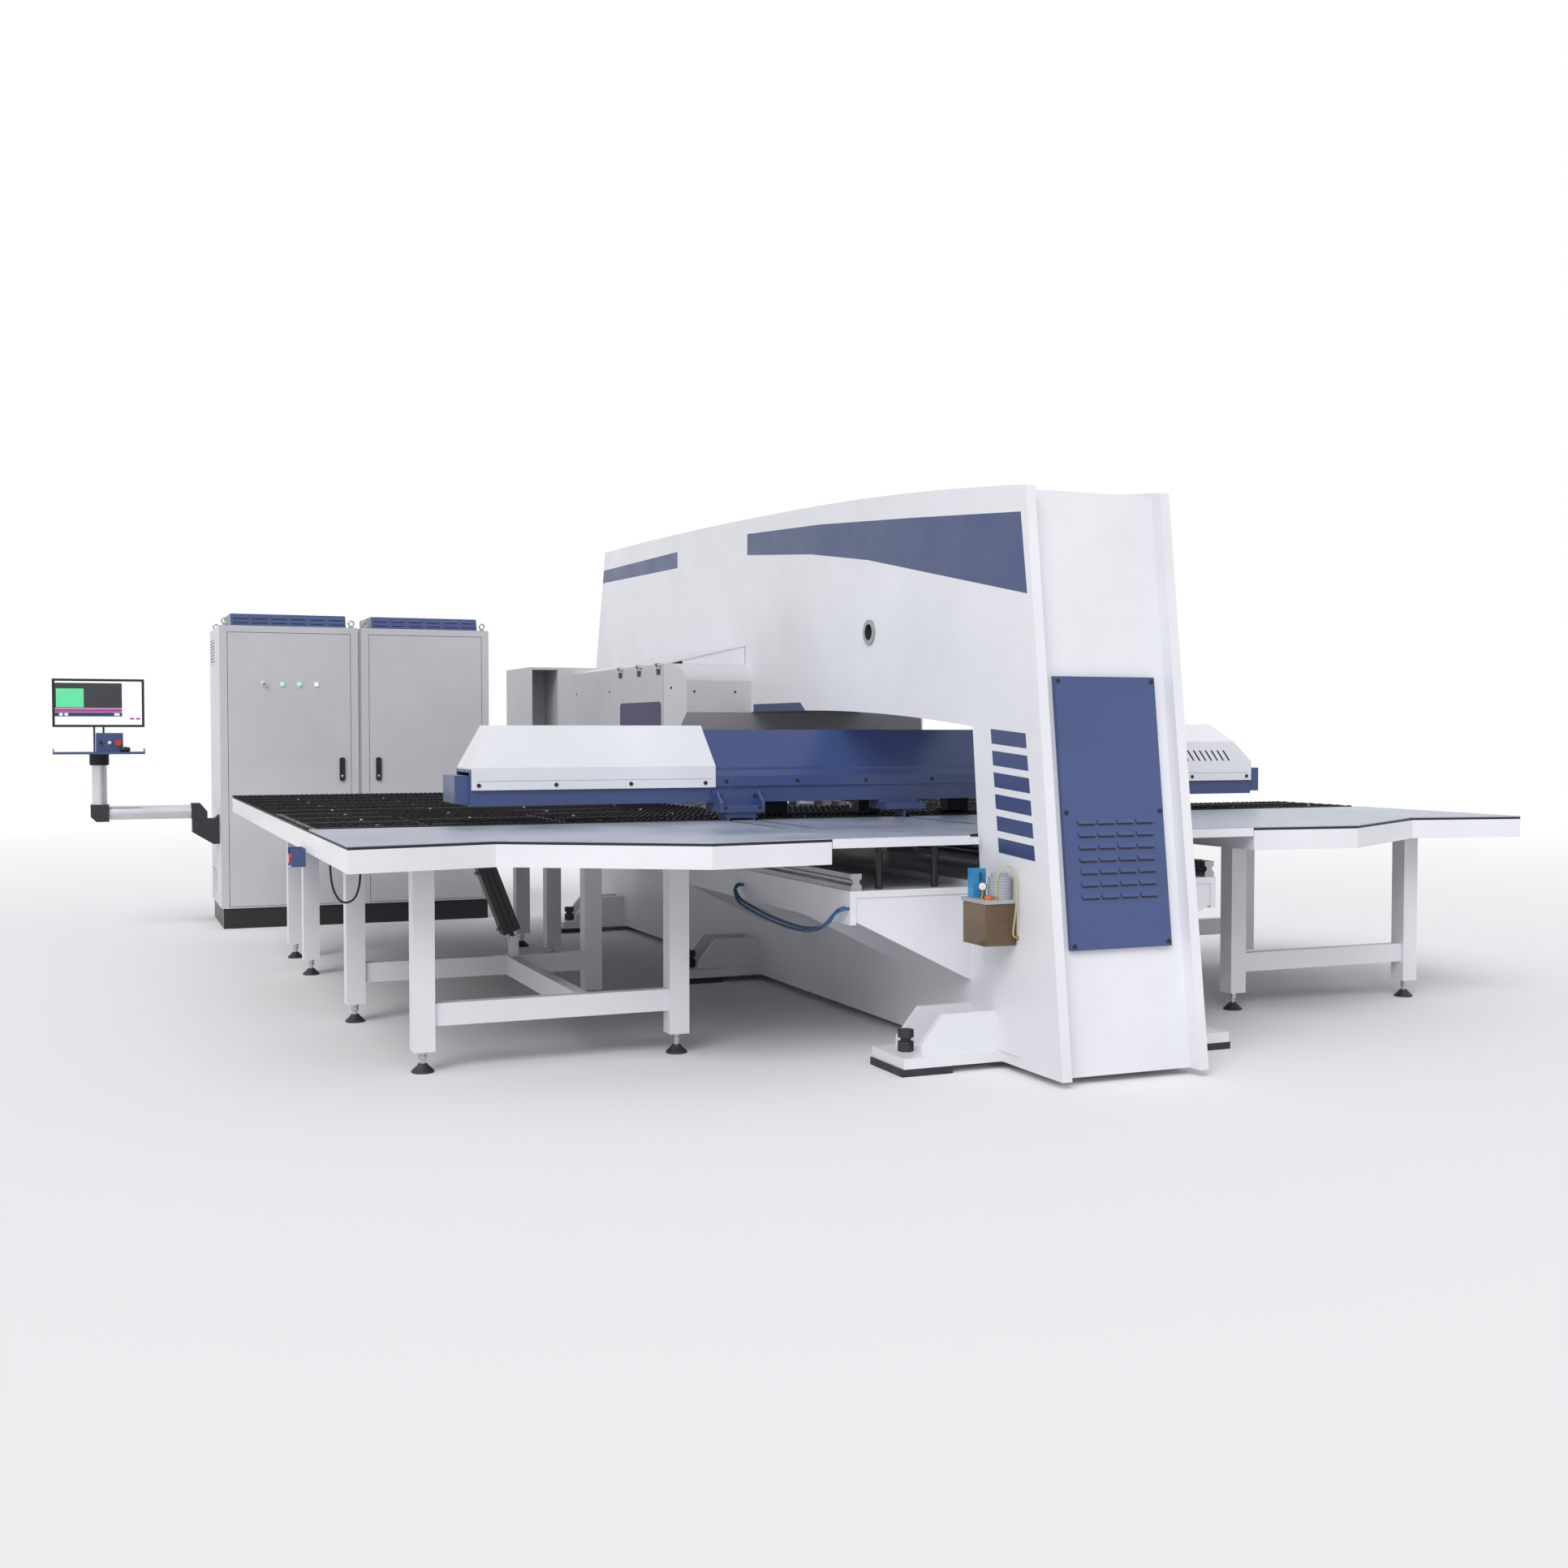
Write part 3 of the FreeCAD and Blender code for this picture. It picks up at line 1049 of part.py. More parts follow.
def side_cover(side, fold_z, top_z, end_slope):
    wall = d.cover_wall
    join = d.cover_in_x
    end = cover_end_x
    front = [(side * join, d.cover_low_z), (side * end, d.cover_low_z),
             (side * end, d.cover_fold_z), (side * (end - end_slope), top_z),
             (side * (join + d.cover_join_slope), top_z), (side * join, fold_z)]
    hollow = [(side * (join + wall), d.cover_low_z - wall),
              (side * (end - wall), d.cover_low_z - wall),
              (side * (end - wall), d.cover_fold_z - wall / 2),
              (side * (end - end_slope - wall / 2), top_z - wall / 2),
              (side * (join + d.cover_join_slope + wall), top_z - wall / 2),
              (side * (join + wall), fold_z)]
    return sheet_cover(front, d.cover_near_y, d.cover_low_z, fold_z, top_z, hollow)


def side_covers():
    """White hoods over both ends of the beam; the right one is taller and slotted."""
    left = side_cover(-1, d.cover_fold_z, d.cover_top_z, d.cover_end_slope)
    right = side_cover(1, d.right_fold_z, d.right_top_z, d.right_end_slope)
    slots = []
    for index in range(count("vent_slots")):
        x = d.vent_slot_end_x - d.vent_slot_pitch * index
        outline = [(x - d.vent_slot_w, d.vent_slot_z), (x, d.vent_slot_z),
                   (x - d.vent_slot_lean, d.vent_slot_z + d.vent_slot_h),
                   (x - d.vent_slot_lean - d.vent_slot_w, d.vent_slot_z + d.vent_slot_h)]
        slots.append(pad("XZ", d.cover_near_y - d.cover_wall, d.cover_wall * 3, outline))
    return node("side_covers", group(left, cut(right, fuse(*slots))))


def centre_cover():
    """Blue hood between the two white ones, with ends cut to their slopes."""
    wall = d.cover_wall
    join = d.cover_in_x - d.cover_join_gap
    low = d.centre_low_z
    top = d.centre_top_z
    left_join = join + d.cover_join_slope * (top - d.cover_fold_z) \
        / (d.cover_top_z - d.cover_fold_z)
    right_join = join + d.cover_join_slope * (top - d.right_fold_z) \
        / (d.right_top_z - d.right_fold_z)
    front = [(-join, low), (join, low), (join, d.right_fold_z), (right_join, top),
             (-left_join, top), (-join, d.cover_fold_z)]
    hollow = [(-join + wall, low - wall), (join - wall, low - wall),
              (join - wall, d.right_fold_z), (right_join - wall, top - wall / 2),
              (-left_join + wall, top - wall / 2), (-join + wall, d.cover_fold_z)]
    cover = sheet_cover(front, d.cover_near_y + d.centre_inset, low, d.centre_fold_z, top,
                        hollow)
    return node("centre_cover", group(cover))


def carriage_brackets():
    """Brackets from the beam down through the table's slots to the sliders and nut."""
    foot_top = d.bracket_foot_z + d.bracket_foot_t
    under = d.beam_low_z
    far = d.beam_near_y + d.bracket_half
    leg_y = (d.bracket_leg_y, d.bracket_leg_y + d.bracket_leg_w)
    x = -d.rail_offset
    foot = span_box((x - d.bracket_half, x + d.bracket_half), (d.bracket_near_y, far),
                    (d.bracket_foot_z, foot_top))
    seat = span_box((x - d.bracket_half, x + d.bracket_half), (d.beam_near_y, far),
                    (foot_top, under))
    bridge_half = (d.strip_w + d.slot_w) / 2 + d.bracket_leg_t
    bridge = span_box((x - bridge_half, x + bridge_half), leg_y,
                      (d.bracket_bridge_z, d.bracket_foot_z))
    pieces = [foot, seat, bridge]
    cheek = [(d.bracket_near_y, foot_top), (d.beam_near_y, foot_top),
             (d.beam_near_y, d.bracket_top_z),
             (d.beam_near_y - d.bracket_rib_t, d.bracket_top_z),
             (d.bracket_near_y, foot_top + d.bracket_rib_t)]
    flare = d.bracket_rib_t
    plate = [(x - d.bracket_half, foot_top), (x + d.bracket_half, foot_top),
             (x + d.bracket_half + flare, d.bracket_top_z),
             (x - d.bracket_half - flare, d.bracket_top_z)]
    pieces.append(pad("XZ", d.beam_near_y - d.bracket_rib_t, d.bracket_rib_t, plate))
    for start in (x - d.bracket_half, x + d.bracket_half - d.bracket_rib_t):
        pieces.append(pad("YZ", start, d.bracket_rib_t, cheek))
    leg_offset = (d.strip_w + d.slot_w) / 2
    for start in (x - leg_offset, x + leg_offset):
        pieces.append(span_box((start - d.bracket_leg_t / 2, start + d.bracket_leg_t / 2),
                               leg_y, (d.slider_top_z, d.bracket_foot_z)))
    half = d.nut_bracket_half
    nut_y = (leg_y[0], leg_y[0] + d.nut_length)
    nut = span_box((-d.nut_half, d.nut_half), nut_y,
                   (d.screw_z - d.nut_half, d.screw_z + d.nut_half))
    nut = cut(nut, rod(0, nut_y[0], d.screw_z, "Y", d.screw_r + d.shaft_clearance,
                       d.nut_length))
    neck = span_box((-d.nut_plate_t / 2, d.nut_plate_t / 2), nut_y,
                    (d.screw_z + d.nut_half, d.bracket_foot_z))
    foot = span_box((-half, half), (d.bracket_near_y, far), (d.bracket_foot_z, foot_top))
    seat = span_box((-half, half), (d.beam_near_y, far), (foot_top, under))
    return node("carriage_brackets",
                group(*both_sides(fuse(*pieces)), fuse(nut, neck, foot, seat)))


def slider_block():
    """Block that runs on a Y rail."""
    half = d.slider_w / 2
    rail_top = d.console_top_z + d.rail_h + d.slider_gap
    channel = d.rail_w / 2 + d.slider_gap
    x = -d.rail_offset
    section = [(x - half, rail_top - d.slider_skirt), (x - channel, rail_top - d.slider_skirt),
               (x - channel, rail_top), (x + channel, rail_top),
               (x + channel, rail_top - d.slider_skirt), (x + half, rail_top - d.slider_skirt),
               (x + half, d.slider_top_z), (x - half, d.slider_top_z)]
    return pad("XZ", d.slider_near_y, d.slider_length, section)


def linear_guides():
    """Sliders on the Y rails, and the X rails and magnet track behind the beam."""
    back = d.beam_near_y + d.beam_depth
    pieces = both_sides(slider_block())
    for z in (d.x_rail_low_z, d.x_rail_high_z):
        pieces.append(span_box((-d.x_rail_half, d.x_rail_half), (back, back + d.x_rail_w),
                               (z, z + d.x_rail_h)))
    pieces.append(span_box((-d.x_rail_half, d.x_rail_half), (back, back + d.track_t),
                           (d.track_z, d.track_z + d.x_rail_h)))
    return node("linear_guides", group(*pieces))


plate_near_y = d.beam_near_y + d.beam_depth + d.x_rail_w + 1
plate_far_y = plate_near_y + d.carriage_plate_t
clamp_far_y = plate_far_y + d.clamp_depth
jaw_y = clamp_far_y + d.jaw_pivot_out


def clamp_places():
    return [d.clamp_spacing * step for step in (-1, 0, 1)]


def clamp_carriage():
    """Plate that runs along the beam with the three clamp bodies on it."""
    back = d.beam_near_y + d.beam_depth
    plate = span_box((-d.carriage_half, d.carriage_half), (plate_near_y, plate_far_y),
                     (d.carriage_low_z, d.carriage_high_z))
    pieces = [plate]
    gap = d.guide_gap
    lip = 8
    for z in (d.x_rail_low_z, d.x_rail_high_z):
        section = [(back + 2, z - lip), (plate_near_y, z - lip),
                   (plate_near_y, z + d.x_rail_h + lip), (back + 2, z + d.x_rail_h + lip),
                   (back + 2, z + d.x_rail_h + gap), (back + d.x_rail_w + gap,
                                                      z + d.x_rail_h + gap),
                   (back + d.x_rail_w + gap, z - gap), (back + 2, z - gap)]
        for side in (-1, 1):
            start = side * d.clamp_spacing - d.clamp_half
            pieces.append(pad("YZ", start, d.clamp_half * 2, section))
    pieces.append(span_box((-d.clamp_half * 3, d.clamp_half * 3),
                           (back + d.track_t + 1, plate_near_y),
                           (d.track_z, d.track_z + d.x_rail_h)))
    base_top = d.jaw_low_z + d.jaw_base_t
    cheek = [(clamp_far_y, d.jaw_pivot_z - 18), (jaw_y + 12, d.jaw_pivot_z - 18),
             (jaw_y + 12, d.jaw_pivot_z + 8), (clamp_far_y, d.jaw_pivot_z + 22)]
    for x in clamp_places():
        body = span_box((x - d.clamp_half, x + d.clamp_half), (plate_far_y, clamp_far_y),
                        (d.jaw_low_z, d.clamp_top_z))
        base = span_box((x - d.clamp_half, x + d.clamp_half),
                        (clamp_far_y, clamp_far_y + d.jaw_tip), (d.jaw_low_z, base_top))
        pieces += [body, base, rod(x - d.clamp_half, jaw_y, d.jaw_pivot_z, "X",
                                   d.jaw_pin_r, d.clamp_half * 2)]
        for start in (x - d.clamp_half, x + d.clamp_half - d.jaw_lug_t):
            pieces.append(pad("YZ", start, d.jaw_lug_t, cheek))
    return node("clamp_carriage", group(fuse(*pieces)))


def clamp_jaws():
    """Upper jaws, each on its pin."""
    half = d.clamp_half - d.jaw_lug_t - d.jaw_side_gap
    grip = d.jaw_low_z + d.jaw_base_t + d.jaw_open
    tip = clamp_far_y + d.jaw_tip - 2
    z = d.jaw_pivot_z
    outline = [(jaw_y - 8, z - 12), (jaw_y + 10, z - 16), (jaw_y + 24, grip),
               (tip, grip), (tip, grip + 12), (jaw_y + 20, z + 14), (jaw_y + 4, z + 16),
               (jaw_y - 8, z + 10)]
    jaws = []
    for x in clamp_places():
        jaws.append(pad("YZ", x - half, half * 2, outline,
                        circles=[(jaw_y, z, d.jaw_pin_r + d.bush_clearance)]))
    return node("clamp_jaws", group(*jaws))


# ----------------------------------------------------------------------- turrets

def station_places():
    places = []
    total = count("stations")
    for index in range(total):
        angle = 2 * math.pi * index / total - math.pi / 2
        places.append((d.station_r * round(math.cos(angle), 6),
                       d.turret_y + d.station_r * round(math.sin(angle), 6)))
    return places


def upper_turret():
    """Disc of punch holders on its shaft."""
    disc_top = d.upper_disc_z + d.upper_disc_t
    pieces = [pad("XY", d.upper_disc_z, d.upper_disc_t,
                  polygon(0, d.turret_y, d.turret_r, 32)),
              rod(0, d.turret_y, disc_top, "Z", d.turret_shaft_r, d.shaft_top_z - disc_top)]
    for x, y in station_places():
        pieces.append(pad("XY", d.punch_tip_z, d.punch_head_z - d.punch_tip_z,
                          polygon(x, y, d.holder_r, 6)))
    return node("upper_turret", group(fuse(*pieces)))


def lower_turret():
    """Disc of die holders on its shaft."""
    pieces = [pad("XY", d.lower_disc_z, d.lower_disc_t,
                  polygon(0, d.turret_y, d.turret_r, 32)),
              rod(0, d.turret_y, d.shaft_low_z, "Z", d.turret_shaft_r,
                  d.lower_disc_z - d.shaft_low_z)]
    disc_top = d.lower_disc_z + d.lower_disc_t
    for x, y in station_places():
        pieces.append(pad("XY", disc_top, d.die_top_z - disc_top,
                          polygon(x, y, d.holder_r, 6)))
    return node("lower_turret", group(fuse(*pieces)))


ram_y = d.turret_y - d.station_r


def press_head():
    """Ram guide and the two turret bearings, bolted inside the throat."""
    guide = fuse(pad("XY", d.head_guide_z, d.throat_top_z - d.head_guide_z,
                     polygon(0, ram_y, d.head_guide_r, 12)),
                 pad("XY", d.head_flange_z, d.throat_top_z - d.head_flange_z,
                     polygon(0, ram_y, d.head_flange_r, 12)))
    guide = cut(guide, rod(0, ram_y, d.head_guide_z, "Z", d.ram_r + d.shaft_clearance,
                           d.throat_top_z - d.head_guide_z))
    bore = d.turret_shaft_r + d.shaft_clearance
    rings = []
    for low, high in ((d.bearing_upper_z, d.throat_top_z),
                      (d.deck_z, d.bearing_lower_top_z)):
        ring = pad("XY", low, high - low, polygon(0, d.turret_y, d.bearing_r, 12))
        rings.append(cut(ring, rod(0, d.turret_y, low, "Z", bore, high - low)))
    return node("press_head", group(guide, *rings))


def ram():
    return node("ram", group(rod(0, ram_y, d.ram_low_z, "Z", d.ram_r,
                                 d.ram_top_z - d.ram_low_z)))


# ------------------------------------------------------------------ turret guard

def guard_plan(inset, inner_x):
    """Plan of one half of the guard, smaller by an inset."""
    return [(-inner_x, d.guard_near_y + inset), (-inner_x, d.guard_far_y - inset),
            (-d.guard_x + inset, d.guard_far_y - inset),
            (-d.guard_x + inset, d.guard_corner_y + inset / 2),
            (-d.guard_face_x + inset / 2, d.guard_near_y + inset)]


def guard_upper(inset):
    """The part above the throat: sloped roof, rolled near edge and long face."""
    roof = d.guard_roof_z - inset
    eave = d.guard_top_z - inset
    low = d.guard_lip_z
    near = d.guard_near_y + inset
    front = [(-outer, low), (-outer, roof), (-d.guard_x + inset, eave),
             (-d.guard_x + inset, low)]
    side = [(near, low), (near, d.guard_bevel_z, d.guard_roll_r, "left"),
            (d.guard_bevel_y, eave), (d.guard_bevel_y, roof),
            (d.guard_far_y - inset, roof), (d.guard_far_y - inset, low)]
    plan = pad("XY", low, d.guard_roof_z - low, guard_plan(inset, outer))
    return common(plan, pad("XZ", near, d.guard_far_y - near, front),
                  pad("YZ", -d.guard_x, d.guard_x, side))


def guard_lower(inset):
    """The part that hangs round the upper turret, with a slanted near side."""
    top = d.guard_lip_z
    low = d.guard_low_z
    left = guard_plan(inset, outer)[2:]
    right = [(-x, y) for x, y in reversed(left)]
    side = [(d.guard_near_y + inset, top), (d.guard_inner_y + inset, d.guard_slant_z),
            (d.guard_inner_y + inset, low), (d.guard_far_y - inset, low),
            (d.guard_far_y - inset, top)]
    return common(pad("XY", low, top - low, left + right),
                  pad("YZ", -d.guard_x, d.guard_x * 2, side))


def rounded(u_pair, v_pair, radius):
    """A rectangle with round corners."""
    u0, u1 = u_pair
    v0, v1 = v_pair
    return [(u0 + radius, v0), (u1 - radius, v0, radius, "right"), (u1, v0 + radius),
            (u1, v1 - radius, radius, "right"), (u1 - radius, v1), (u0 + radius, v1,
                                                                   radius, "right"),
            (u0, v1 - radius), (u0, v0 + radius, radius, "right")]


HINGES = ("flap_hinge_1_y", "flap_hinge_2_y", "flap_hinge_3_y")


def turret_cover():
    """Guard round the turrets on both sides of the frame, and the box behind it."""
    wall = d.guard_wall
    upper = cut(guard_upper(as_size(0)), guard_upper(wall))
    lower = cut(guard_lower(as_size(0)), guard_lower(wall))
    overlap = d.flap_overlap
    doorway = span_box((-d.guard_x, -d.guard_x + wall),
                       (d.flap_near_y + overlap, d.flap_far_y - overlap),
                       (d.flap_low_z + overlap, d.flap_top_z - overlap))
    side_box = span_box((-d.side_box_x, -outer), (d.guard_far_y, d.side_box_far_y),
                        (d.side_box_low_z, d.side_box_top_z))
    edge = d.recess_edge
    recess = span_box((-d.side_box_x + edge, -d.recess_in_x),
                      (d.guard_far_y, d.guard_far_y + d.recess_depth),
                      (d.side_box_low_z + edge, d.side_box_top_z - edge))
    pieces = [upper, lower, cut(side_box, recess)]
    axis_x = -d.guard_x - d.flap_hinge_out
    radius = d.flap_hinge_r
    half = d.flap_hinge_l / 2
    cheek = d.flap_cheek_t
    for alias in HINGES:
        y = getattr(d, alias)
        for start in (y - half - cheek - d.flap_fit, y + half + d.flap_fit):
            pieces.append(span_box((axis_x - radius, -d.guard_x), (start, start + cheek),
                                   (d.flap_hinge_z - radius, d.flap_hinge_z + radius)))
        pieces.append(rod(axis_x, y - half - cheek, d.flap_hinge_z, "Y", d.flap_pin_r,
                          (half + cheek) * 2))
    left = cut(fuse(*pieces), doorway)
    right = mirrored(fuse(upper, cut(side_box, recess)))
    return node("turret_cover", group(fuse(left, right)))


flap_x = -d.guard_x - d.flap_fit - d.flap_t
window = rounded((d.window_near_y, d.window_far_y), (d.window_low_z, d.window_top_z),
                 d.window_round)


def cover_flap():
    """Hinged flap on the guard's long face, with an opening for the pane."""
    plate = pad("YZ", flap_x, d.flap_t,
                rectangle((d.flap_near_y, d.flap_far_y), (d.flap_low_z, d.flap_top_z)),
                holes=[window])
    axis_x = -d.guard_x - d.flap_hinge_out
    half = d.flap_hinge_l / 2
    bore = d.flap_pin_r + d.bush_clearance
    pieces = [plate]
    bores = []
    for alias in HINGES:
        y = getattr(d, alias)
        pieces.append(pad("XZ", y - half, half * 2,
                          polygon(axis_x, d.flap_hinge_z, d.flap_hinge_r, 6)))
        pieces.append(span_box((axis_x, flap_x), (y - half, y + half),
                               (d.flap_top_z - d.flap_leaf_h, d.flap_hinge_z)))
        bores.append(rod(axis_x, y - half, d.flap_hinge_z, "Y", bore, half * 2))
    return node("cover_flap", group(cut(fuse(*pieces), fuse(*bores))))


def flap_window():
    return node("flap_window", group(pad("YZ", flap_x, d.flap_t, window)))


# ---------------------------------------------------------------------- cabinets

CABINETS = (("cabinet_left_x", "cabinet_seam_left_x"),
            ("cabinet_seam_right_x", "cabinet_right_x"))
cabinet_far = d.cabinet_y + d.cabinet_depth
cabinet_rim = d.door_t + d.door_rebate


def door_span(index):
    """X limits of a door: wide margin on the outside, narrow ones inside."""
    low_alias, high_alias = CABINETS[index]
    return (-getattr(d, low_alias) + d.door_margin_side,
            -getattr(d, high_alias) - d.door_margin_side)


door_z = (d.plinth_h + d.door_margin_low, d.cabinet_top_z - d.door_margin_top)


def hinge_x(index):
    low, high = door_span(index)
    return low + d.door_pin_in if index == 0 else high - d.door_pin_in


def cabinets():
    """Two sheet cabinets joined by a recessed strip, each with a door opening, pivot
    pins and a plate of drive modules."""
    pieces = []
    for index, (low_alias, high_alias) in enumerate(CABINETS):
        low = -getattr(d, low_alias)
        high = -getattr(d, high_alias)
        wall = d.cabinet_wall
        shell = span_box((low, high), (d.cabinet_y, cabinet_far),
                         (d.plinth_h, d.cabinet_top_z))
        hollow = span_box((low + wall, high - wall),
                          (d.cabinet_y + cabinet_rim, cabinet_far - wall),
                          (d.plinth_h + wall, d.cabinet_top_z - wall))
        door_low, door_high = door_span(index)
        gap = d.door_gap
        opening = span_box((door_low - gap, door_high + gap),
                           (d.cabinet_y, d.cabinet_y + cabinet_rim),
                           (door_z[0] - gap, door_z[1] + gap))
        x = hinge_x(index)
        y = d.cabinet_y + d.door_pin_back
        pins = [rod(x, y, door_z[0] - gap, "Z", d.door_pin_r, gap + d.door_pin_l),
                rod(x, y, door_z[1] - d.door_pin_l, "Z", d.door_pin_r, gap + d.door_pin_l)]
        back = span_box((low + wall * 4, high - wall * 4),
                        (cabinet_far - wall * 2, cabinet_far - wall),
                        (d.plinth_h + wall * 5, d.cabinet_top_z - wall * 5))
        modules = []
        for row in range(3):
            z = d.plinth_h + d.module_pitch_z * (row + 0.6)
            modules.append(span_box((low + wall * 6, high - wall * 6),
                                    (cabinet_far - wall * 2 - d.module_depth,
                                     cabinet_far - wall * 2), (z, z + d.module_h)))
        pieces.append(fuse(cut(shell, hollow, opening), *pins, back, *modules))
    strip = span_box((-d.cabinet_seam_left_x, -d.cabinet_seam_right_x),
                     (d.cabinet_y + d.cabinet_wall, cabinet_far - d.cabinet_wall),
                     (d.plinth_h + d.cabinet_wall, d.cabinet_top_z - d.cabinet_wall))
    return node("cabinets", group(fuse(*pieces, strip)))


def cabinet_plinth():
    inset = d.plinth_inset
    bases = []
    for low_alias, high_alias in CABINETS:
        bases.append(span_box((-getattr(d, low_alias) + inset,
                               -getattr(d, high_alias) - inset),
                              (d.cabinet_y + inset, cabinet_far - inset),
                              (0, d.plinth_h)))
    return node("cabinet_plinth", group(*bases))


def roof_vents():
    """Ventilator hoods on the cabinet roofs, louvred on their sloped front."""
    hoods = []
    for low_alias, high_alias in CABINETS:
        low = -getattr(d, low_alias) + d.roof_inset_x
        high = -getattr(d, high_alias) - d.roof_inset_x
        near = d.cabinet_y + d.roof_near
        far = near + d.roof_depth
        base = d.cabinet_top_z
        top = base + d.roof_h
        wall = d.roof_wall
        slope = d.roof_slope
        shell = pad("YZ", low, high - low,
                    [(near, base), (far, base), (far, top), (near + slope, top)])
        hollow = pad("YZ", low + wall, high - low - wall * 2,
                     [(near + wall, base), (far - wall, base), (far - wall, top - wall),
                      (near + slope, top - wall)])
        pitch = (high - low) / 6
        blades = []
        for row in range(2):
            z = base + d.roof_h * (0.28 + 0.36 * row)
            y = near + slope * (z - base) / d.roof_h
            blade = [(y - 7, z), (y + 1, z), (y + slope * 14 / d.roof_h, z + 14)]
            for column in range(6):
                blades.append(pad("YZ", low + pitch * (column + 0.12), pitch * 0.76, blade))
        hoods.append(fuse(cut(shell, hollow), *blades))
    return node("roof_vents", group(*hoods))


def door(index):
    """A flat door with bores for its pivot pins and its handle spindle."""
    low, high = door_span(index)
    panel = span_box((low, high), (d.cabinet_y, d.cabinet_y + d.door_t), door_z)
    x = hinge_x(index)
    y = d.cabinet_y + d.door_pin_back
    bore = d.door_pin_r + d.bush_clearance
    depth = d.door_pin_l + 2
    tools = [rod(x, y, door_z[0], "Z", bore, depth),
             rod(x, y, door_z[1] - depth, "Z", bore, depth),
             rod(handle_x(index), d.cabinet_y, handle_mid_z, "Y",
                 d.spindle_r + d.bush_clearance, d.door_t)]
    return panel, tools


handle_mid_z = d.handle_z + d.handle_h / 2


def handle_x(index):
    low, high = door_span(index)
    return high - d.handle_inset if index == 0 else low + d.handle_inset


def door_left():
    panel, tools = door(0)
    tools.append(rod(-d.key_x, d.cabinet_y, d.lamp_z, "Y", d.key_r + d.bush_clearance,
                     d.door_t))
    return node("door_left", group(cut(panel, fuse(*tools))))


def door_right():
    panel, tools = door(1)
    return node("door_right", group(cut(panel, fuse(*tools))))


def door_handle(label, index):
    """Swing handle on a spindle through the door."""
    x = handle_x(index)
    half = d.handle_w / 2
    face = d.cabinet_y - d.handle_fit
    round_off = d.handle_round
    low = d.handle_z
    high = low + d.handle_h
    grip = [(x - half + round_off, low), (x + half - round_off, low),
            (x + half, low + round_off), (x + half, high - round_off),
            (x + half - round_off, high), (x - half + round_off, high),
            (x - half, high - round_off), (x - half, low + round_off)]
    plate = pad("XZ", face - d.handle_t, d.handle_t, grip)
    spindle = rod(x, face, handle_mid_z, "Y", d.spindle_r, d.door_t)
    return node(label, group(fuse(plate, spindle)))


def pilot_lamps():
    lamps = []
    for index in range(3):
        lamps.append(pad("XZ", d.cabinet_y - d.lamp_proud, d.lamp_proud,
                         polygon(-d.lamp_1_x + d.lamp_pitch * index, d.lamp_z, d.lamp_r,
                                 12)))
    return node("pilot_lamps", group(*lamps))


def key_switch():
    """Lock barrel with the key's bow standing out of it."""
    front = d.cabinet_y - d.key_proud
    barrel = rod(-d.key_x, front, d.lamp_z, "Y", d.key_r, d.key_proud + d.door_t)
    bow = span_box((-d.key_x - d.key_bow_w / 2, -d.key_x + d.key_bow_w / 2),
                   (front - d.key_bow_h, front),
                   (d.lamp_z - d.key_bow_h / 2, d.lamp_z + d.key_bow_h / 2))
    return node("key_switch", group(fuse(barrel, bow)))


# ----------------------------------------------------------------------- pendant

def pendant_bracket():
    """Cast bracket on the cabinet's side, with the arm's swivel pin."""
    wall_x = -d.cabinet_left_x
    half = d.bracket_w / 2
    reach = -d.swivel_x - half
    top = d.bracket_high_z
    outline = [(wall_x, d.bracket_low_z), (wall_x - half * 0.8, d.bracket_low_z),
               (reach, top - half * 1.8), (reach, top), (wall_x - half * 0.6, top),
               (wall_x, top + half * 0.5)]
    body = pad("XZ", d.pendant_y - half, half * 2, outline)
    pin = rod(-d.swivel_x, d.pendant_y, top, "Z", d.swivel_pin_r, d.swivel_pin_l)
    return node("pendant_bracket", group(fuse(body, pin)))


def pendant_elbows():
    """Swivel and corner castings that hold the two tubes."""
    half = d.elbow_half
    low = d.bracket_high_z + d.elbow_fit
    top = d.arm_z + half
    x = -d.swivel_x
    outline = [(x - half, low), (x + half * 0.8, low), (x + half * 0.8, d.arm_z),
               (x, top), (x - half, top)]
    swivel = pad("XZ", d.pendant_y - d.bracket_w / 2, d.bracket_w, outline)
    swivel = cut(swivel, rod(x, d.pendant_y, low, "Z", d.swivel_pin_r + d.bush_clearance,
                             d.swivel_pin_l + 1))
    corner_x = -d.post_x
    corner = [(corner_x + half, d.arm_z - half), (corner_x + half, d.arm_z + half),
              (corner_x - half, d.arm_z + half), (corner_x - half, d.arm_z - half * 0.4),
              (corner_x - half * 0.4, d.arm_z - half)]
    corner = pad("XZ", d.pendant_y - half, half * 2, corner)
    return node("pendant_elbows", group(swivel, corner))


def pendant_tubes():
    """Horizontal arm and upright, with the pin that the head turns on."""
    half = d.elbow_half
    start = -d.post_x + half
    arm = rod(start, d.pendant_y, d.arm_z, "X", d.arm_tube_r, -d.swivel_x - half - start)
    low = d.arm_z + half
    upright = rod(-d.post_x, d.pendant_y, low, "Z", d.arm_tube_r, d.post_top_z - low)
    pin = rod(-d.post_x, d.pendant_y, d.post_top_z, "Z", d.swivel_pin_r, d.swivel_pin_l)
    return node("pendant_tubes", group(arm, fuse(upright, pin)))


tray_top = d.tray_z + d.tray_t
panel_y = d.pendant_y - d.box_d
monitor_y = panel_y + d.monitor_set_back
tilt_y = monitor_y + d.monitor_t + d.tilt_back
tilt_z = d.monitor_low_z + d.monitor_h / 2


def control_x(step):
    return -d.post_x + d.box_shift + d.button_pitch * step


control_z = tray_top + d.button_z


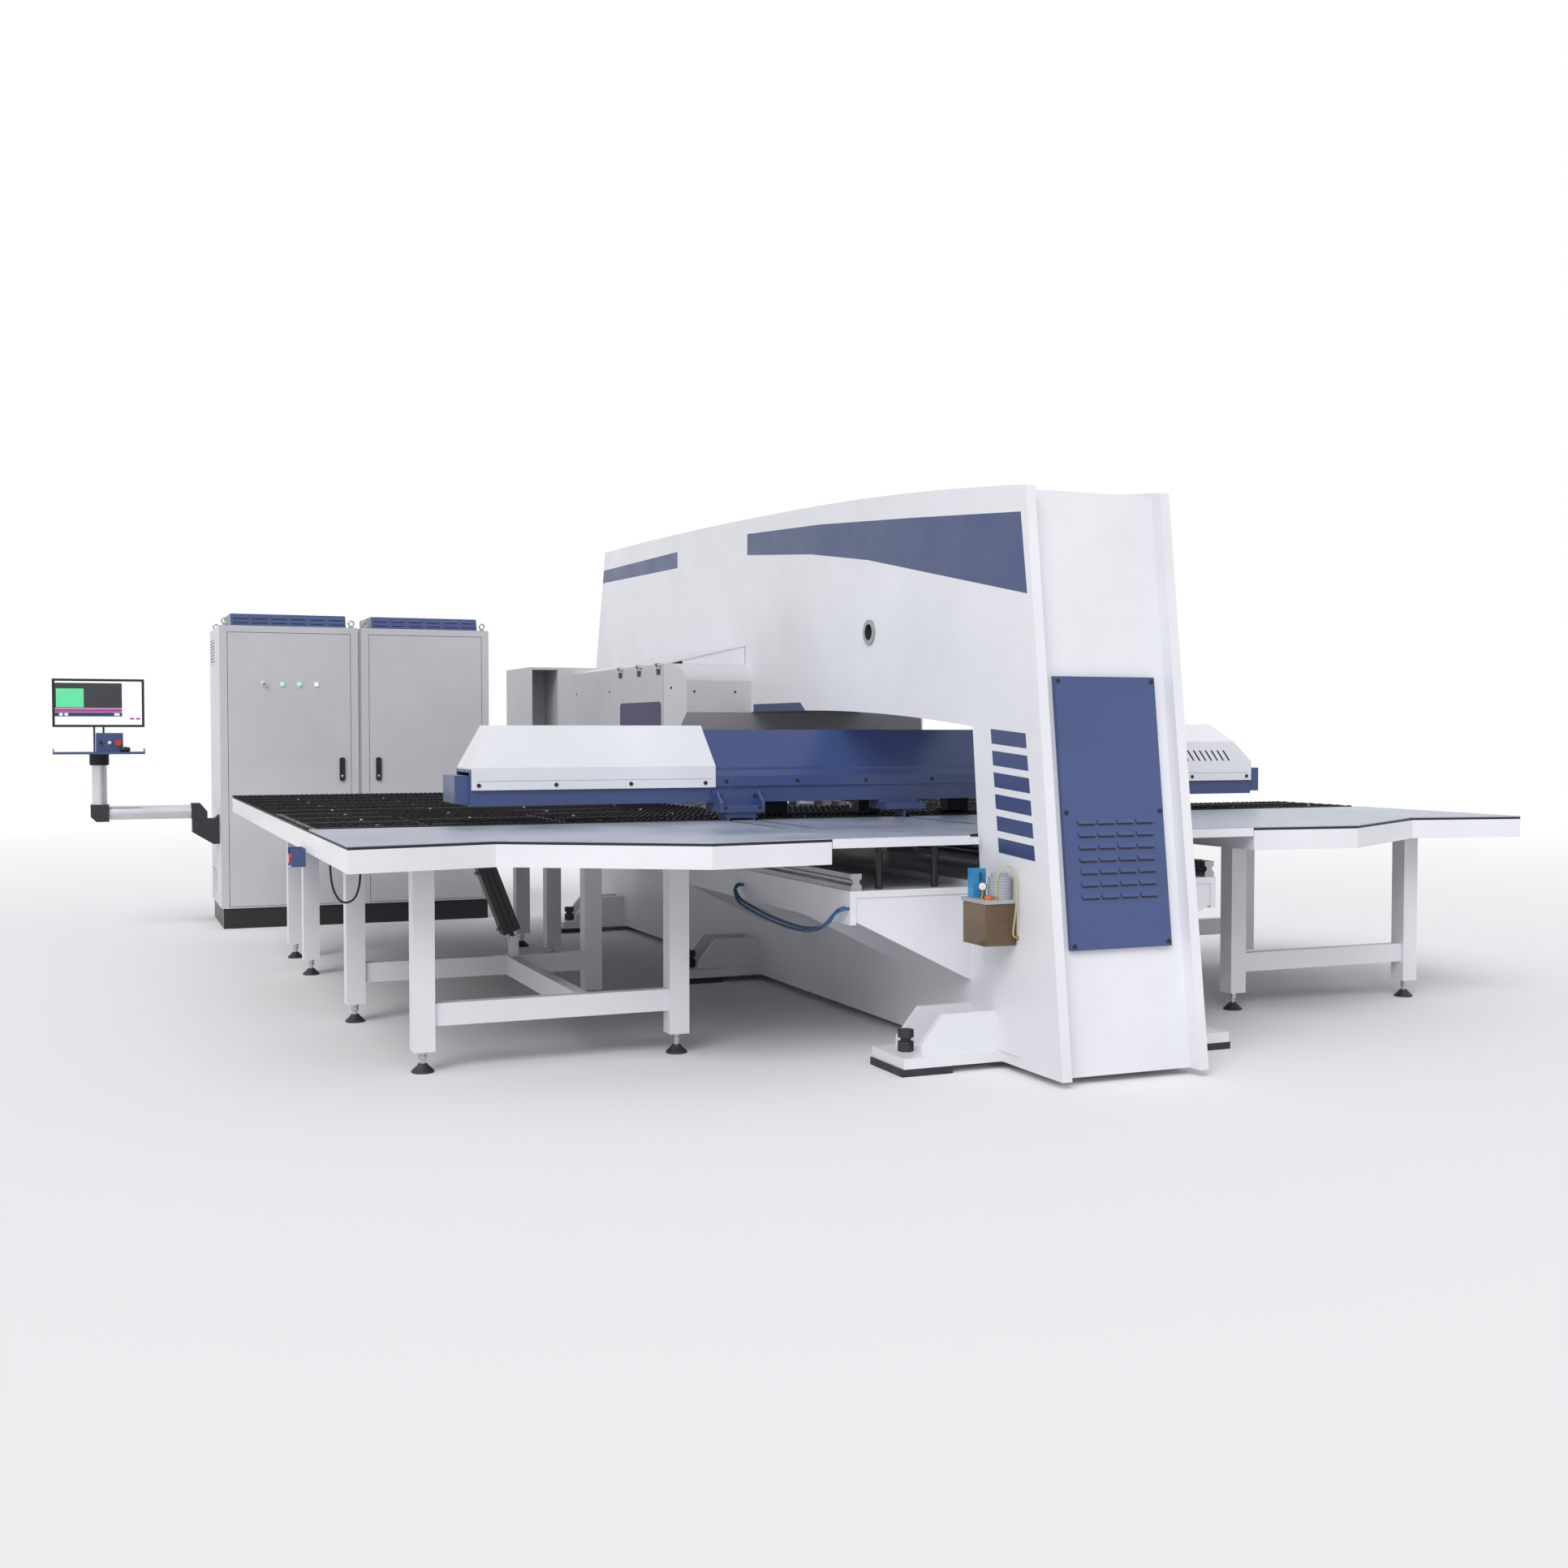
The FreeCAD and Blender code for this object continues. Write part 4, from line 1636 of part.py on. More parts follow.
def pendant_head():
    """Coupling, keyboard tray, control box and the post for the screen."""
    x = -d.post_x
    coupling_low = d.post_top_z + d.elbow_fit
    coupling = cut(pad("XY", coupling_low, d.tray_z - coupling_low,
                       polygon(x, d.pendant_y, d.coupling_r, 12)),
                   rod(x, d.pendant_y, coupling_low, "Z",
                       d.swivel_pin_r + d.bush_clearance, d.swivel_pin_l + 1))
    half = d.tray_w / 2
    near = d.pendant_y - d.tray_near
    tray = span_box((x - half, x + half), (near, near + d.tray_d), (d.tray_z, tray_top))
    lip = d.tray_lip
    rim_t = d.cover_wall
    rims = [span_box((x - half, x - half + rim_t), (near, near + d.tray_d),
                     (tray_top, tray_top + lip)),
            span_box((x + half - rim_t, x + half), (near, near + d.tray_d),
                     (tray_top, tray_top + lip))]
    box_x = x + d.box_shift
    control_box = span_box((box_x - d.box_w / 2, box_x + d.box_w / 2),
                           (panel_y, panel_y + d.box_d), (tray_top, tray_top + d.box_h))
    bores = [rod(control_x(-1), panel_y, control_z, "Y", d.stem_r + d.bush_clearance,
                 d.stem_l + d.press_room),
             rod(control_x(0), panel_y, control_z, "Y", d.button_r + d.bush_clearance,
                 d.stem_l + d.press_room),
             rod(control_x(1), panel_y, control_z, "Y", d.stem_r + d.bush_clearance,
                 d.stem_l + d.press_room)]
    control_box = cut(control_box, fuse(*bores))
    cheeks = []
    cheek = d.trap_lug_t
    lug = d.monitor_arm_w / 2
    for start in (x - lug - 1 - cheek, x + lug + 1):
        cheeks.append(span_box((start, start + cheek), (tilt_y - cheek, tilt_y + cheek * 1.5),
                               (tray_top, tilt_z + cheek)))
    pin = rod(x - lug - 1 - cheek, tilt_y, tilt_z, "X", d.tilt_pin_r, (lug + 1 + cheek) * 2)
    return node("pendant_head", group(fuse(coupling, tray, *rims, control_box, *cheeks,
                                           pin)))


def monitor():
    """Flat screen with a lug behind it for the tilt pin."""
    x = -d.post_x
    half = d.monitor_w / 2
    casing = span_box((x - half, x + half), (monitor_y, monitor_y + d.monitor_t),
                      (d.monitor_low_z, d.monitor_low_z + d.monitor_h))
    bezel = d.monitor_bezel
    screen = span_box((x - half + bezel, x + half - bezel), (monitor_y, monitor_y + 2),
                      (d.monitor_low_z + bezel, d.monitor_low_z + d.monitor_h - bezel))
    lug = d.monitor_arm_w / 2
    arm = span_box((x - lug, x + lug), (monitor_y + d.monitor_t, tilt_y + d.tilt_lug),
                   (tilt_z - d.tilt_lug, tilt_z + d.tilt_lug))
    arm = cut(arm, rod(x - lug, tilt_y, tilt_z, "X", d.tilt_pin_r + d.bush_clearance,
                       lug * 2))
    return node("monitor", group(fuse(cut(casing, screen), arm)))


def pendant_selector():
    """Turning knob with a pointer ridge."""
    x = control_x(-1)
    knob_y = panel_y - d.press_fit - d.button_proud
    knob = pad("XZ", knob_y, d.button_proud, polygon(x, control_z, d.button_r, 12))
    ridge = span_box((x - d.stem_r / 2, x + d.stem_r / 2), (knob_y - d.stem_r, knob_y),
                     (control_z - d.button_r, control_z + d.button_r))
    stem = rod(x, panel_y - d.press_fit, control_z, "Y", d.stem_r, d.stem_l)
    return node("pendant_selector", group(fuse(knob, ridge, stem)))


def pendant_button():
    return node("pendant_button",
                group(pad("XZ", panel_y - d.button_proud, d.button_proud + d.stem_l,
                          polygon(control_x(0), control_z, d.button_r, 12))))


def mushroom(plane, x, y, z, stem_l):
    """Mushroom head and stem, standing out on the low side of the plane's normal."""
    head = polygon(x, z, d.estop_r, 12) if plane == "XZ" else polygon(y, z, d.estop_r, 12)
    stem = polygon(x, z, d.stem_r, 8) if plane == "XZ" else polygon(y, z, d.stem_r, 8)
    face = y if plane == "XZ" else x
    return fuse(pad(plane, face - d.estop_proud, d.mushroom_t, head),
                pad(plane, face - d.estop_proud, d.estop_proud + stem_l, stem))


def pendant_estop():
    return node("pendant_estop",
                group(mushroom("XZ", control_x(1), panel_y, control_z, d.stem_l)))


# -------------------------------------------------------- emergency stop, trapdoor

stop_mid_z = (d.stop_low_z + skirt_low) / 2
stop_face_x = -d.table_half - d.stop_reach * 0.6


def estop_bracket():
    """U-shaped guard under the left edge with the switch housing inside it."""
    t = d.stop_t
    edge = -d.table_half
    half = d.stop_half
    y = d.stop_y
    back = span_box((edge - t, edge), (y - half, y + half), (d.stop_low_z, d.stop_high_z))
    wings = [span_box((edge - d.stop_reach, edge), (start, start + t),
                      (d.stop_low_z, d.stop_high_z))
             for start in (y - half, y + half - t)]
    housing = span_box((stop_face_x, edge - t), (y - half / 2, y + half / 2),
                       (d.stop_low_z + t * 2, skirt_low - t))
    housing = cut(housing, rod(stop_face_x, y, stop_mid_z, "X",
                               d.stem_r + d.bush_clearance, d.stem_l * 0.6 + d.press_room))
    return node("estop_bracket", group(fuse(back, *wings, housing)))


def table_estop():
    return node("table_estop",
                group(mushroom("YZ", stop_face_x, d.stop_y, stop_mid_z,
                               d.stem_l * 0.6)))


def trapdoor():
    """Drop door in the left board, with its hinge rod and the lug for the cylinder."""
    wall = d.skirt_wall
    board = span_box((-d.trap_out_x, -d.trap_in_x), (d.trap_near_y, d.trap_far_y),
                     (skirt_top, board_top))
    low = hinge_z - d.trap_pin_r
    bar = span_box((-d.trap_in_x - d.trap_block * 2, -d.trap_in_x),
                   (d.trap_near_y, d.trap_far_y), (low, skirt_top))
    pin = rod(-d.trap_in_x, d.trap_near_y - d.trap_gap - wall / 2, hinge_z, "Y",
              d.trap_pin_r, d.trap_far_y - d.trap_near_y + d.trap_gap * 2 + wall)
    pieces = [board, bar, pin]
    for start in (d.trap_near_y + wall, d.trap_far_y - wall * 2):
        pieces.append(span_box((-d.trap_out_x, -d.trap_in_x - d.trap_block * 2),
                               (start, start + wall), (low, skirt_top)))
    cheek = d.trap_lug_t
    half = d.trap_lug_w / 2
    for step in (-1, 1):
        start = d.cyl_y + step * (d.eye_t / 2 + 1 + cheek / 2) - cheek / 2
        pieces.append(span_box((-d.trap_lug_x - half, -d.trap_lug_x + half),
                               (start, start + cheek), (d.trap_lug_z - half, skirt_top)))
    pieces.append(rod(-d.trap_lug_x, d.cyl_y - d.eye_t / 2 - 1 - cheek, d.trap_lug_z, "Y",
                      d.trap_pin_r, d.eye_t + 2 + cheek * 2))
    inset = d.bristle_inset
    pieces += brush_rows(-d.trap_out_x + inset, -d.trap_in_x - inset,
                         d.trap_near_y + inset, d.trap_far_y)
    return node("trapdoor", group(fuse(*pieces)))


lift_x = d.cyl_foot_x - d.trap_lug_x
lift_z = d.trap_lug_z - d.cyl_foot_z
lift_span = distance(lift_x, lift_z)


def on_cylinder(piece):
    return leaning(piece, -d.cyl_foot_x, d.cyl_y, d.cyl_foot_z, lift_x, lift_z)


def lift_cylinder():
    """Square barrel that leans from its foot pin to the trapdoor."""
    half = d.cyl_w / 2
    barrel = span_box((-half, half), (-half, half), (d.cyl_start, d.cyl_start + d.cyl_length))
    eye = rod(0, -d.eye_t / 2, 0, "Y", d.trap_lug_w / 2, d.eye_t)
    neck = span_box((-d.eye_t / 2, d.eye_t / 2), (-d.eye_t / 2, d.eye_t / 2),
                    (0, d.cyl_start))
    floor = d.cyl_start + d.cyl_floor
    bore = rod(0, 0, floor, "Z", d.rod_r + d.shaft_clearance,
               d.cyl_start + d.cyl_length - floor)
    pin_bore = rod(0, -d.eye_t / 2, 0, "Y", d.trap_pin_r + d.bush_clearance, d.eye_t)
    return node("lift_cylinder", group(on_cylinder(cut(fuse(barrel, eye, neck),
                                                       fuse(bore, pin_bore)))))


def lift_rod():
    """Piston rod; its eye hangs loosely on the trapdoor's pin."""
    start = lift_span - d.rod_l
    eye_r = d.rod_eye_w / 2
    neck_low = lift_span - d.trap_lug_w
    shaft = rod(0, 0, start, "Z", d.rod_r, d.rod_l - d.trap_lug_w)
    neck = span_box((-d.trap_pin_r, d.trap_pin_r), (-d.eye_t / 2, d.eye_t / 2),
                    (neck_low - d.eye_play, lift_span - d.trap_pin_r - d.eye_play))
    eye = rod(0, -d.eye_t / 2, lift_span, "Y", eye_r, d.eye_t)
    hole = rod(0, -d.eye_t / 2, lift_span, "Y", d.trap_pin_r + d.eye_play, d.eye_t)
    return node("lift_rod", group(on_cylinder(cut(fuse(shaft, neck, eye), hole))))


# -------------------------------------------------------------------- lubricator

def lubricator_tank():
    """Open-topped clear tank under the pump's flange."""
    wall = d.lube_wall
    x_pair = (-d.lube_out_x, -outer)
    y_pair = (d.lube_near_y, d.lube_far_y)
    tank = span_box(x_pair, y_pair, (d.lube_low_z, d.lube_flange_z))
    hollow = span_box((x_pair[0] + wall, x_pair[1] - wall), (y_pair[0] + wall,
                                                            y_pair[1] - wall),
                      (d.lube_low_z + wall, d.lube_flange_z))
    return node("lubricator_tank", group(cut(tank, hollow)))


def lubricator_pump():
    """Flange with the grey motor on it."""
    lip = d.lube_lip
    top = d.lube_flange_z + d.lube_flange_t
    flange = span_box((-d.lube_out_x - lip, -outer),
                      (d.lube_near_y - lip, d.lube_far_y + lip), (d.lube_flange_z, top))
    body_h = d.lube_motor_h * 0.85
    motor = pad("XY", top, body_h,
                polygon(-d.lube_motor_x, d.lube_motor_y, d.lube_motor_r, 16))
    cap = pad("XY", top + body_h, d.lube_motor_h - body_h,
              polygon(-d.lube_motor_x, d.lube_motor_y, d.lube_motor_r * 0.75, 16))
    return node("lubricator_pump", group(fuse(flange, motor, cap)))


def lubricator_controller():
    low = d.lube_flange_z + d.lube_flange_t
    return node("lubricator_controller",
                group(box(-d.lube_box_x - d.lube_box_w, d.lube_box_y, low, d.lube_box_w,
                          d.lube_box_d, d.lube_box_h)))


# -------------------------------------------------------------------------- cords

CORD_SIDES = 6


def bend_edges(points):
    """Straight runs joined by tangent arcs."""
    corners = [FreeCAD.Vector(*[as_size(value).value for value in point])
               for point in points]
    edges = []
    place = corners[0]
    for before, corner, after in zip(corners, corners[1:], corners[2:]):
        back = (before - corner).normalize()
        ahead = (after - corner).normalize()
        shorter = min((before - corner).Length, (after - corner).Length)
        trim = 0.45 * shorter
        first = corner + back * trim
        last = corner + ahead * trim
        turn = math.pi - back.getAngle(ahead)
        radius = trim / math.tan(turn / 2)
        to_centre = (back + ahead).normalize() * (radius / math.cos(turn / 2))
        centre = corner + to_centre
        middle = centre - to_centre.normalize() * radius
        edges.append(Part.makeLine(place, first))
        edges.append(Part.Arc(first, middle, last).toShape())
        place = last
    edges.append(Part.makeLine(place, corners[-1]))
    return edges


def cord_solid(points, diameter):
    path = Part.Wire(bend_edges(points))
    start = path.Edges[0]
    centre = start.valueAt(start.FirstParameter)
    ahead = start.tangentAt(start.FirstParameter)
    side = ahead.cross(FreeCAD.Vector(0.3, 1, 0.1)).normalize()
    corners = []
    for step in range(CORD_SIDES + 1):
        spin = FreeCAD.Rotation(ahead, 360 * step / CORD_SIDES)
        corners.append(centre + spin.multVec(side) * (as_size(diameter).value / 2))
    section = Part.makePolygon(corners)
    sweep = Part.BRepOffsetAPI.MakePipeShell(path)
    sweep.add(section)
    sweep.build()
    sweep.makeSolid()
    return sweep.shape()


def cord(label, solids):
    """Cords are swept in code from points read from the sheet."""
    thing = new_object("Part::Feature", "Cord")
    thing.Shape = Part.makeCompound(solids) if len(solids) > 1 else solids[0]
    thing.Placement = FreeCAD.Placement()
    return node(label, thing)


def lubricator_tube():
    """Clear tube that arches from the flange to the frame's side plate."""
    top = d.lube_flange_z + d.lube_flange_t
    wall_x = -outer - 16
    start_x = -d.lube_box_x - 16
    y = d.lube_near_y + 8
    points = [(start_x, y, top), (start_x, y, top + 60),
              (start_x + 8, y - 8, top + 112), (start_x + 52, y - 14, top + 128),
              (wall_x + 2, y - 22, top + 92), (wall_x + 4, y - 28, top + 30),
              (wall_x, y - 30, top - 38), (wall_x - 6, y - 26, top - 92),
              (wall_x - 8, y - 20, top - 140), (wall_x + 16, y - 20, top - 140)]
    return cord("lubricator_tube", [cord_solid(points, d.lube_tube_d)])


def air_hoses():
    """Two hoses that sag below the left console's outer plate."""
    hoses = []
    low = d.console_apron_z
    for index in range(2):
        x = -outer - d.console_reach - d.hose_d / 2 - d.hose_gap \
            - (d.hose_d + d.hose_gap) * index
        drop = 10 * index
        inward = -outer - d.console_reach
        apart = 36 * index
        points = [(inward, 1790 - apart, low + 60), (x - 22, 1790 - apart, low + 60),
                  (x - 30, 1712 - apart, low + 6 - drop), (x - 26, 1574, low - 14 - drop),
                  (x - 22, 1406, low - 34 - drop), (x - 18, 1228, low - 46 - drop),
                  (x - 18, 1054, low - 48 - drop), (x - 20, 900, low - 36 - drop),
                  (x - 24, 776 + drop, low - 8 - drop), (x - 22, 700 - apart, low + 62),
                  (inward, 700 - apart, low + 62)]
        hoses.append(cord_solid(points, d.hose_d))
    return cord("air_hoses", hoses)


def loop_hose():
    """Air line that hangs in a loop under the left table."""
    x = -d.table_half + d.skirt_wall * 0.5
    y = 1400
    points = [(x, y, skirt_low), (x + 2, y + 4, skirt_low - 56),
              (x + 12, y + 2, skirt_low - 112), (x + 40, y - 4, skirt_low - 158),
              (x + 86, y - 6, skirt_low - 150), (x + 108, y, skirt_low - 96),
              (x + 112, y + 4, skirt_low - 30), (x + 108, y + 2, skirt_low + 34),
              (x + 110, y, skirt_top)]
    return cord("loop_hose", [cord_solid(points, d.loop_hose_d)])


# ------------------------------------------------------------------ whole machine

BUILDERS = (
    frame_side_plates, frame_plates, lifting_bushes, vent_panel, foot_brackets,
    leveling_bolts, foot_pads, consoles, y_rails, y_drive, y_ball_screw, table_skirts,
    centre_table, brush_boards, table_sheets, table_legs, table_feet, table_posts, x_beam,
    side_covers, centre_cover, carriage_brackets, linear_guides, clamp_carriage,
    clamp_jaws, upper_turret, lower_turret, press_head, ram, turret_cover, cover_flap,
    flap_window, cabinets, cabinet_plinth, roof_vents, door_left, door_right,
    pilot_lamps, key_switch, pendant_bracket, pendant_elbows, pendant_tubes,
    pendant_head, monitor, pendant_selector, pendant_button, pendant_estop,
    estop_bracket, table_estop, trapdoor, lift_cylinder, lift_rod, lubricator_tank,
    lubricator_pump, lubricator_controller, lubricator_tube, air_hoses, loop_hose,
)

for build in BUILDERS:
    build()
door_handle("handle_left", 0)
door_handle("handle_right", 1)
document.recompute()

for thing in document.Objects:
    if any(state in thing.State for state in ("Invalid", "Error")):
        raise ValueError(f"{thing.Name} did not compute: {thing.State}")

os.makedirs("parts", exist_ok=True)
for piece in NODES:
    if piece.Shape.isNull() or not piece.Shape.isValid():
        raise ValueError(f"{piece.Label} has no valid shape")
    piece.Shape.exportStep(f"parts/{piece.Label}.step")
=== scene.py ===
import json
import math
import random

import bmesh
import bpy
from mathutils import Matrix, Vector
from mathutils.bvhtree import BVHTree


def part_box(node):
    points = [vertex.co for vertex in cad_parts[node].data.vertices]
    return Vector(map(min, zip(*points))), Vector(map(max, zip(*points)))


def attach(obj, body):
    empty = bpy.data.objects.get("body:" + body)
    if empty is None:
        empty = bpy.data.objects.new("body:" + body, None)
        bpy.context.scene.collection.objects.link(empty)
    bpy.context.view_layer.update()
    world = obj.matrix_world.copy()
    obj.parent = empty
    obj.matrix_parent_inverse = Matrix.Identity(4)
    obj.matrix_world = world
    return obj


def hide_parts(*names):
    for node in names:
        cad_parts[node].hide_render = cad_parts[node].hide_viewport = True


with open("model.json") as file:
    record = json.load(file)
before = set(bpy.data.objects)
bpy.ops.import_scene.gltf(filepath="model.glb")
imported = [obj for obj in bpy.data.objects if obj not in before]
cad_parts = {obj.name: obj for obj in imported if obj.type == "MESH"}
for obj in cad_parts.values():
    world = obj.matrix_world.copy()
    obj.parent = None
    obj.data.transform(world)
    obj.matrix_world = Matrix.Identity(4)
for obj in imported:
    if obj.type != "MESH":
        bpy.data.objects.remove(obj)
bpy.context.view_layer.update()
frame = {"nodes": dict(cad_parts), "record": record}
NODES = frame["nodes"]


# Lengths below are millimetres from the machine's own datum, as in the part's source.
DATUM_X, DATUM_Y = 501.0, -3503.5  # the datum's place in the row frame
EDGE_ANGLE = math.radians(40)      # sharper edges get a bevel
SMOOTH_ANGLE = math.radians(34)    # flatter edges are shaded smooth
UP, DOWN = (0, 0, 1), (0, 0, -1)
LEFT, RIGHT = (-1, 0, 0), (1, 0, 0)
NEAR, FAR = (0, -1, 0), (0, 1, 0)


def at(x, y, z):
    """A place of the machine's datum in the row frame, in metres."""
    return Vector(((x + DATUM_X) / 1000, (y + DATUM_Y) / 1000, z / 1000))


def back(place):
    """A place of the row frame in millimetres of the machine's datum."""
    return place.x * 1000 - DATUM_X, place.y * 1000 - DATUM_Y, place.z * 1000


def soften(thing, width, segments):
    """Bevels an object's sharp edges; the width is in millimetres."""
    edge = thing.modifiers.new("Edge", "BEVEL")
    edge.width = width / 1000
    edge.segments = segments
    edge.limit_method = "ANGLE"
    edge.angle_limit = EDGE_ANGLE


# ---------------------------------------------- camera, from the photo's vanishing lines

camera_data = bpy.data.cameras.new("Camera")
camera_data.lens = 38.57
camera_data.sensor_width = 36.0
camera_data.clip_end = 200.0
camera = bpy.data.objects.new("Camera", camera_data)
camera.location = (-2.959, -8.5295, 1.2635)
camera.rotation_euler = (math.radians(90 - 1.826), 0.0, math.radians(-22.6))
bpy.context.scene.collection.objects.link(camera)
bpy.context.scene.camera = camera


# ------------------------------------------------------------------------ materials

def tone(text):
    """Linear colour of a six-digit display colour."""
    values = [int(text[i:i + 2], 16) / 255 for i in (0, 2, 4)]
    return tuple(v / 12.92 if v <= 0.04045 else ((v + 0.055) / 1.055) ** 2.4
                 for v in values)


class Nodes:
    """Short calls for a material's node tree."""

    def __init__(self, name):
        self.material = bpy.data.materials.new(name)
        self.material.use_nodes = True
        self.tree = self.material.node_tree
        self.shader = self.tree.nodes["Principled BSDF"]
        self.output = self.tree.nodes["Material Output"]
        self.place = self.add("ShaderNodeTexCoord").outputs["Object"]

    def add(self, kind, **values):
        node = self.tree.nodes.new(kind)
        for key, value in values.items():
            setattr(node, key, value)
        return node

    def link(self, source, target):
        self.tree.links.new(source, target)

    def stretched(self, scale):
        mapping = self.add("ShaderNodeMapping")
        mapping.inputs["Scale"].default_value = scale
        self.link(self.place, mapping.inputs["Vector"])
        return mapping.outputs["Vector"]

    def noise(self, scale, detail=4.0, rough=0.55, stretch=None):
        node = self.add("ShaderNodeTexNoise")
        node.inputs["Scale"].default_value = scale
        node.inputs["Detail"].default_value = detail
        node.inputs["Roughness"].default_value = rough
        self.link(self.stretched(stretch) if stretch else self.place,
                  node.inputs["Vector"])
        return node.outputs["Fac"]

    def ramp(self, value, low, high, new_low=0.0, new_high=1.0):
        node = self.add("ShaderNodeMapRange")
        node.inputs["From Min"].default_value = low
        node.inputs["From Max"].default_value = high
        node.inputs["To Min"].default_value = new_low
        node.inputs["To Max"].default_value = new_high
        self.link(value, node.inputs["Value"])
        return node.outputs["Result"]

    def mix(self, share, first, second):
        node = self.add("ShaderNodeMix", data_type="RGBA")
        self.link(share, node.inputs["Factor"])
        for socket, colour in ((node.inputs[6], first), (node.inputs[7], second)):
            if isinstance(colour, tuple):
                socket.default_value = (*colour[:3], 1.0)
            else:
                self.link(colour, socket)
        return node.outputs[2]

    def bump(self, height, strength, distance, below=None):
        node = self.add("ShaderNodeBump")
        node.inputs["Strength"].default_value = strength
        node.inputs["Distance"].default_value = distance
        self.link(height, node.inputs["Height"])
        if below is not None:
            self.link(below, node.inputs["Normal"])
        return node.outputs["Normal"]

    def set(self, name, value):
        self.shader.inputs[name].default_value = value

    def feed(self, name, source):
        self.link(source, self.shader.inputs[name])


def shade(colour, factor):
    return tuple(min(1.0, c * factor) for c in colour)


def paint(name, colour, rough=0.38, peel=0.25, dust=0.05, coat=0.15):
    """Sprayed enamel: orange peel, faint clouding, a little grime and handling wear."""
    m = Nodes(name)
    cloud = m.noise(1.7, 5.0)
    base = m.mix(m.ramp(cloud, 0.3, 0.7), shade(colour, 1.0 - dust), shade(colour, 1.0 + dust))
    specks = m.noise(62.0, 3.0, 0.7)
    base = m.mix(m.ramp(specks, 0.7, 0.78, 0.0, 0.22), base, shade(colour, 0.62))
    m.feed("Base Color", base)
    m.feed("Roughness", m.ramp(m.noise(5.0, 5.0), 0.25, 0.75, rough - 0.07, rough + 0.1))
    m.feed("Normal", m.bump(m.noise(230.0, 2.0), peel, 0.0006))
    m.set("Coat Weight", coat)
    m.set("Coat Roughness", 0.2)
    return m.material


def brushed(name, colour, rough, stretch, lines=0.25, smudge=0.12, metallic=0.95):
    """Rolled or machined metal: grain along one direction, smudges and fine scratches."""
    m = Nodes(name)
    grain = m.noise(9.0, 6.0, 0.7, stretch)
    cloud = m.noise(2.3, 6.0, 0.6)
    base = m.mix(m.ramp(cloud, 0.35, 0.7), shade(colour, 1 - smudge), shade(colour, 1 + smudge))
    base = m.mix(m.ramp(grain, 0.45, 0.75, 0.0, 0.5), base, shade(colour, 0.78))
    m.feed("Base Color", base)
    m.set("Metallic", metallic)
    m.feed("Roughness", m.ramp(cloud, 0.3, 0.75, rough - 0.08, rough + 0.14))
    m.feed("Normal", m.bump(grain, lines, 0.0004))
    return m.material


def moulded(name, colour, rough=0.5, grain=0.3, scale=420.0, coat=0.0):
    """Moulded plastic or rubber: fine leathery grain and uneven sheen."""
    m = Nodes(name)
    base = m.mix(m.ramp(m.noise(14.0, 4.0), 0.3, 0.7), shade(colour, 0.85),
                 shade(colour, 1.18))
    m.feed("Base Color", base)
    m.feed("Roughness", m.ramp(m.noise(30.0, 3.0), 0.3, 0.7, rough - 0.08, rough + 0.08))
    m.feed("Normal", m.bump(m.noise(scale, 3.0), grain, 0.0004))
    m.set("Coat Weight", coat)
    return m.material


def clear(name, colour, rough, weight, scratch=0.1):
    """Clear moulded plastic or glass with faint scuffs."""
    m = Nodes(name)
    scuff = m.noise(40.0, 6.0, 0.7, (1.0, 1.0, 0.2))
    m.feed("Base Color", m.mix(m.ramp(scuff, 0.4, 0.8, 0.0, 0.4), colour,
                               shade(colour, 0.8)))
    m.feed("Roughness", m.ramp(scuff, 0.3, 0.8, rough, rough + scratch))
    m.set("Transmission Weight", weight)
    m.set("IOR", 1.45)
    m.feed("Normal", m.bump(m.noise(90.0, 2.0), 0.05, 0.0004))
    return m.material


def lit(name, colour, strength, edge=0.6):
    """A glowing lens, brighter in cells as its moulded facets are."""
    m = Nodes(name)
    cells = m.add("ShaderNodeTexVoronoi")
    cells.inputs["Scale"].default_value = 260.0
    m.link(m.place, cells.inputs["Vector"])
    glow = m.mix(m.ramp(cells.outputs["Distance"], 0.0, 0.7), colour, shade(colour, edge))
    m.feed("Base Color", glow)
    m.feed("Emission Color", glow)
    m.set("Emission Strength", strength)
    m.set("Roughness", 0.25)
    return m.material


def bristles():
    """Board full of short bristle tufts, paler at the tips as a painted highlight."""
    m = Nodes("Bristle_board")
    cells = m.add("ShaderNodeTexVoronoi")
    cells.inputs["Scale"].default_value = 95.0
    m.link(m.place, cells.inputs["Vector"])
    # Cell centres are painted paler, a painted highlight for light on the tuft tips; the bump
    # follows the same mask.
    tip_highlight = m.ramp(cells.outputs["Distance"], 0.15, 0.6, 1.0, 0.0)
    m.feed("Base Color", m.mix(tip_highlight, tone("0A0A0C"), tone("202125")))
    m.set("Roughness", 0.62)
    m.feed("Normal", m.bump(tip_highlight, 0.7, 0.003))
    return m.material


def thread():
    """Rolled screw thread: bright crests along the shaft as a painted highlight, with painted
    shade in the roots between them.
    """
    m = Nodes("Rolled_thread")
    wave = m.add("ShaderNodeTexWave", bands_direction="Y")
    wave.inputs["Scale"].default_value = 16.0
    m.link(m.place, wave.inputs["Vector"])
    # Painted highlight on the crests and painted shade in the roots, alternating along the
    # shaft.
    m.feed("Base Color", m.mix(wave.outputs["Fac"], tone("6A6C70"), tone("C4C7CC")))
    m.set("Metallic", 0.9)
    m.set("Roughness", 0.25)
    m.feed("Normal", m.bump(wave.outputs["Fac"], 0.9, 0.003))
    return m.material


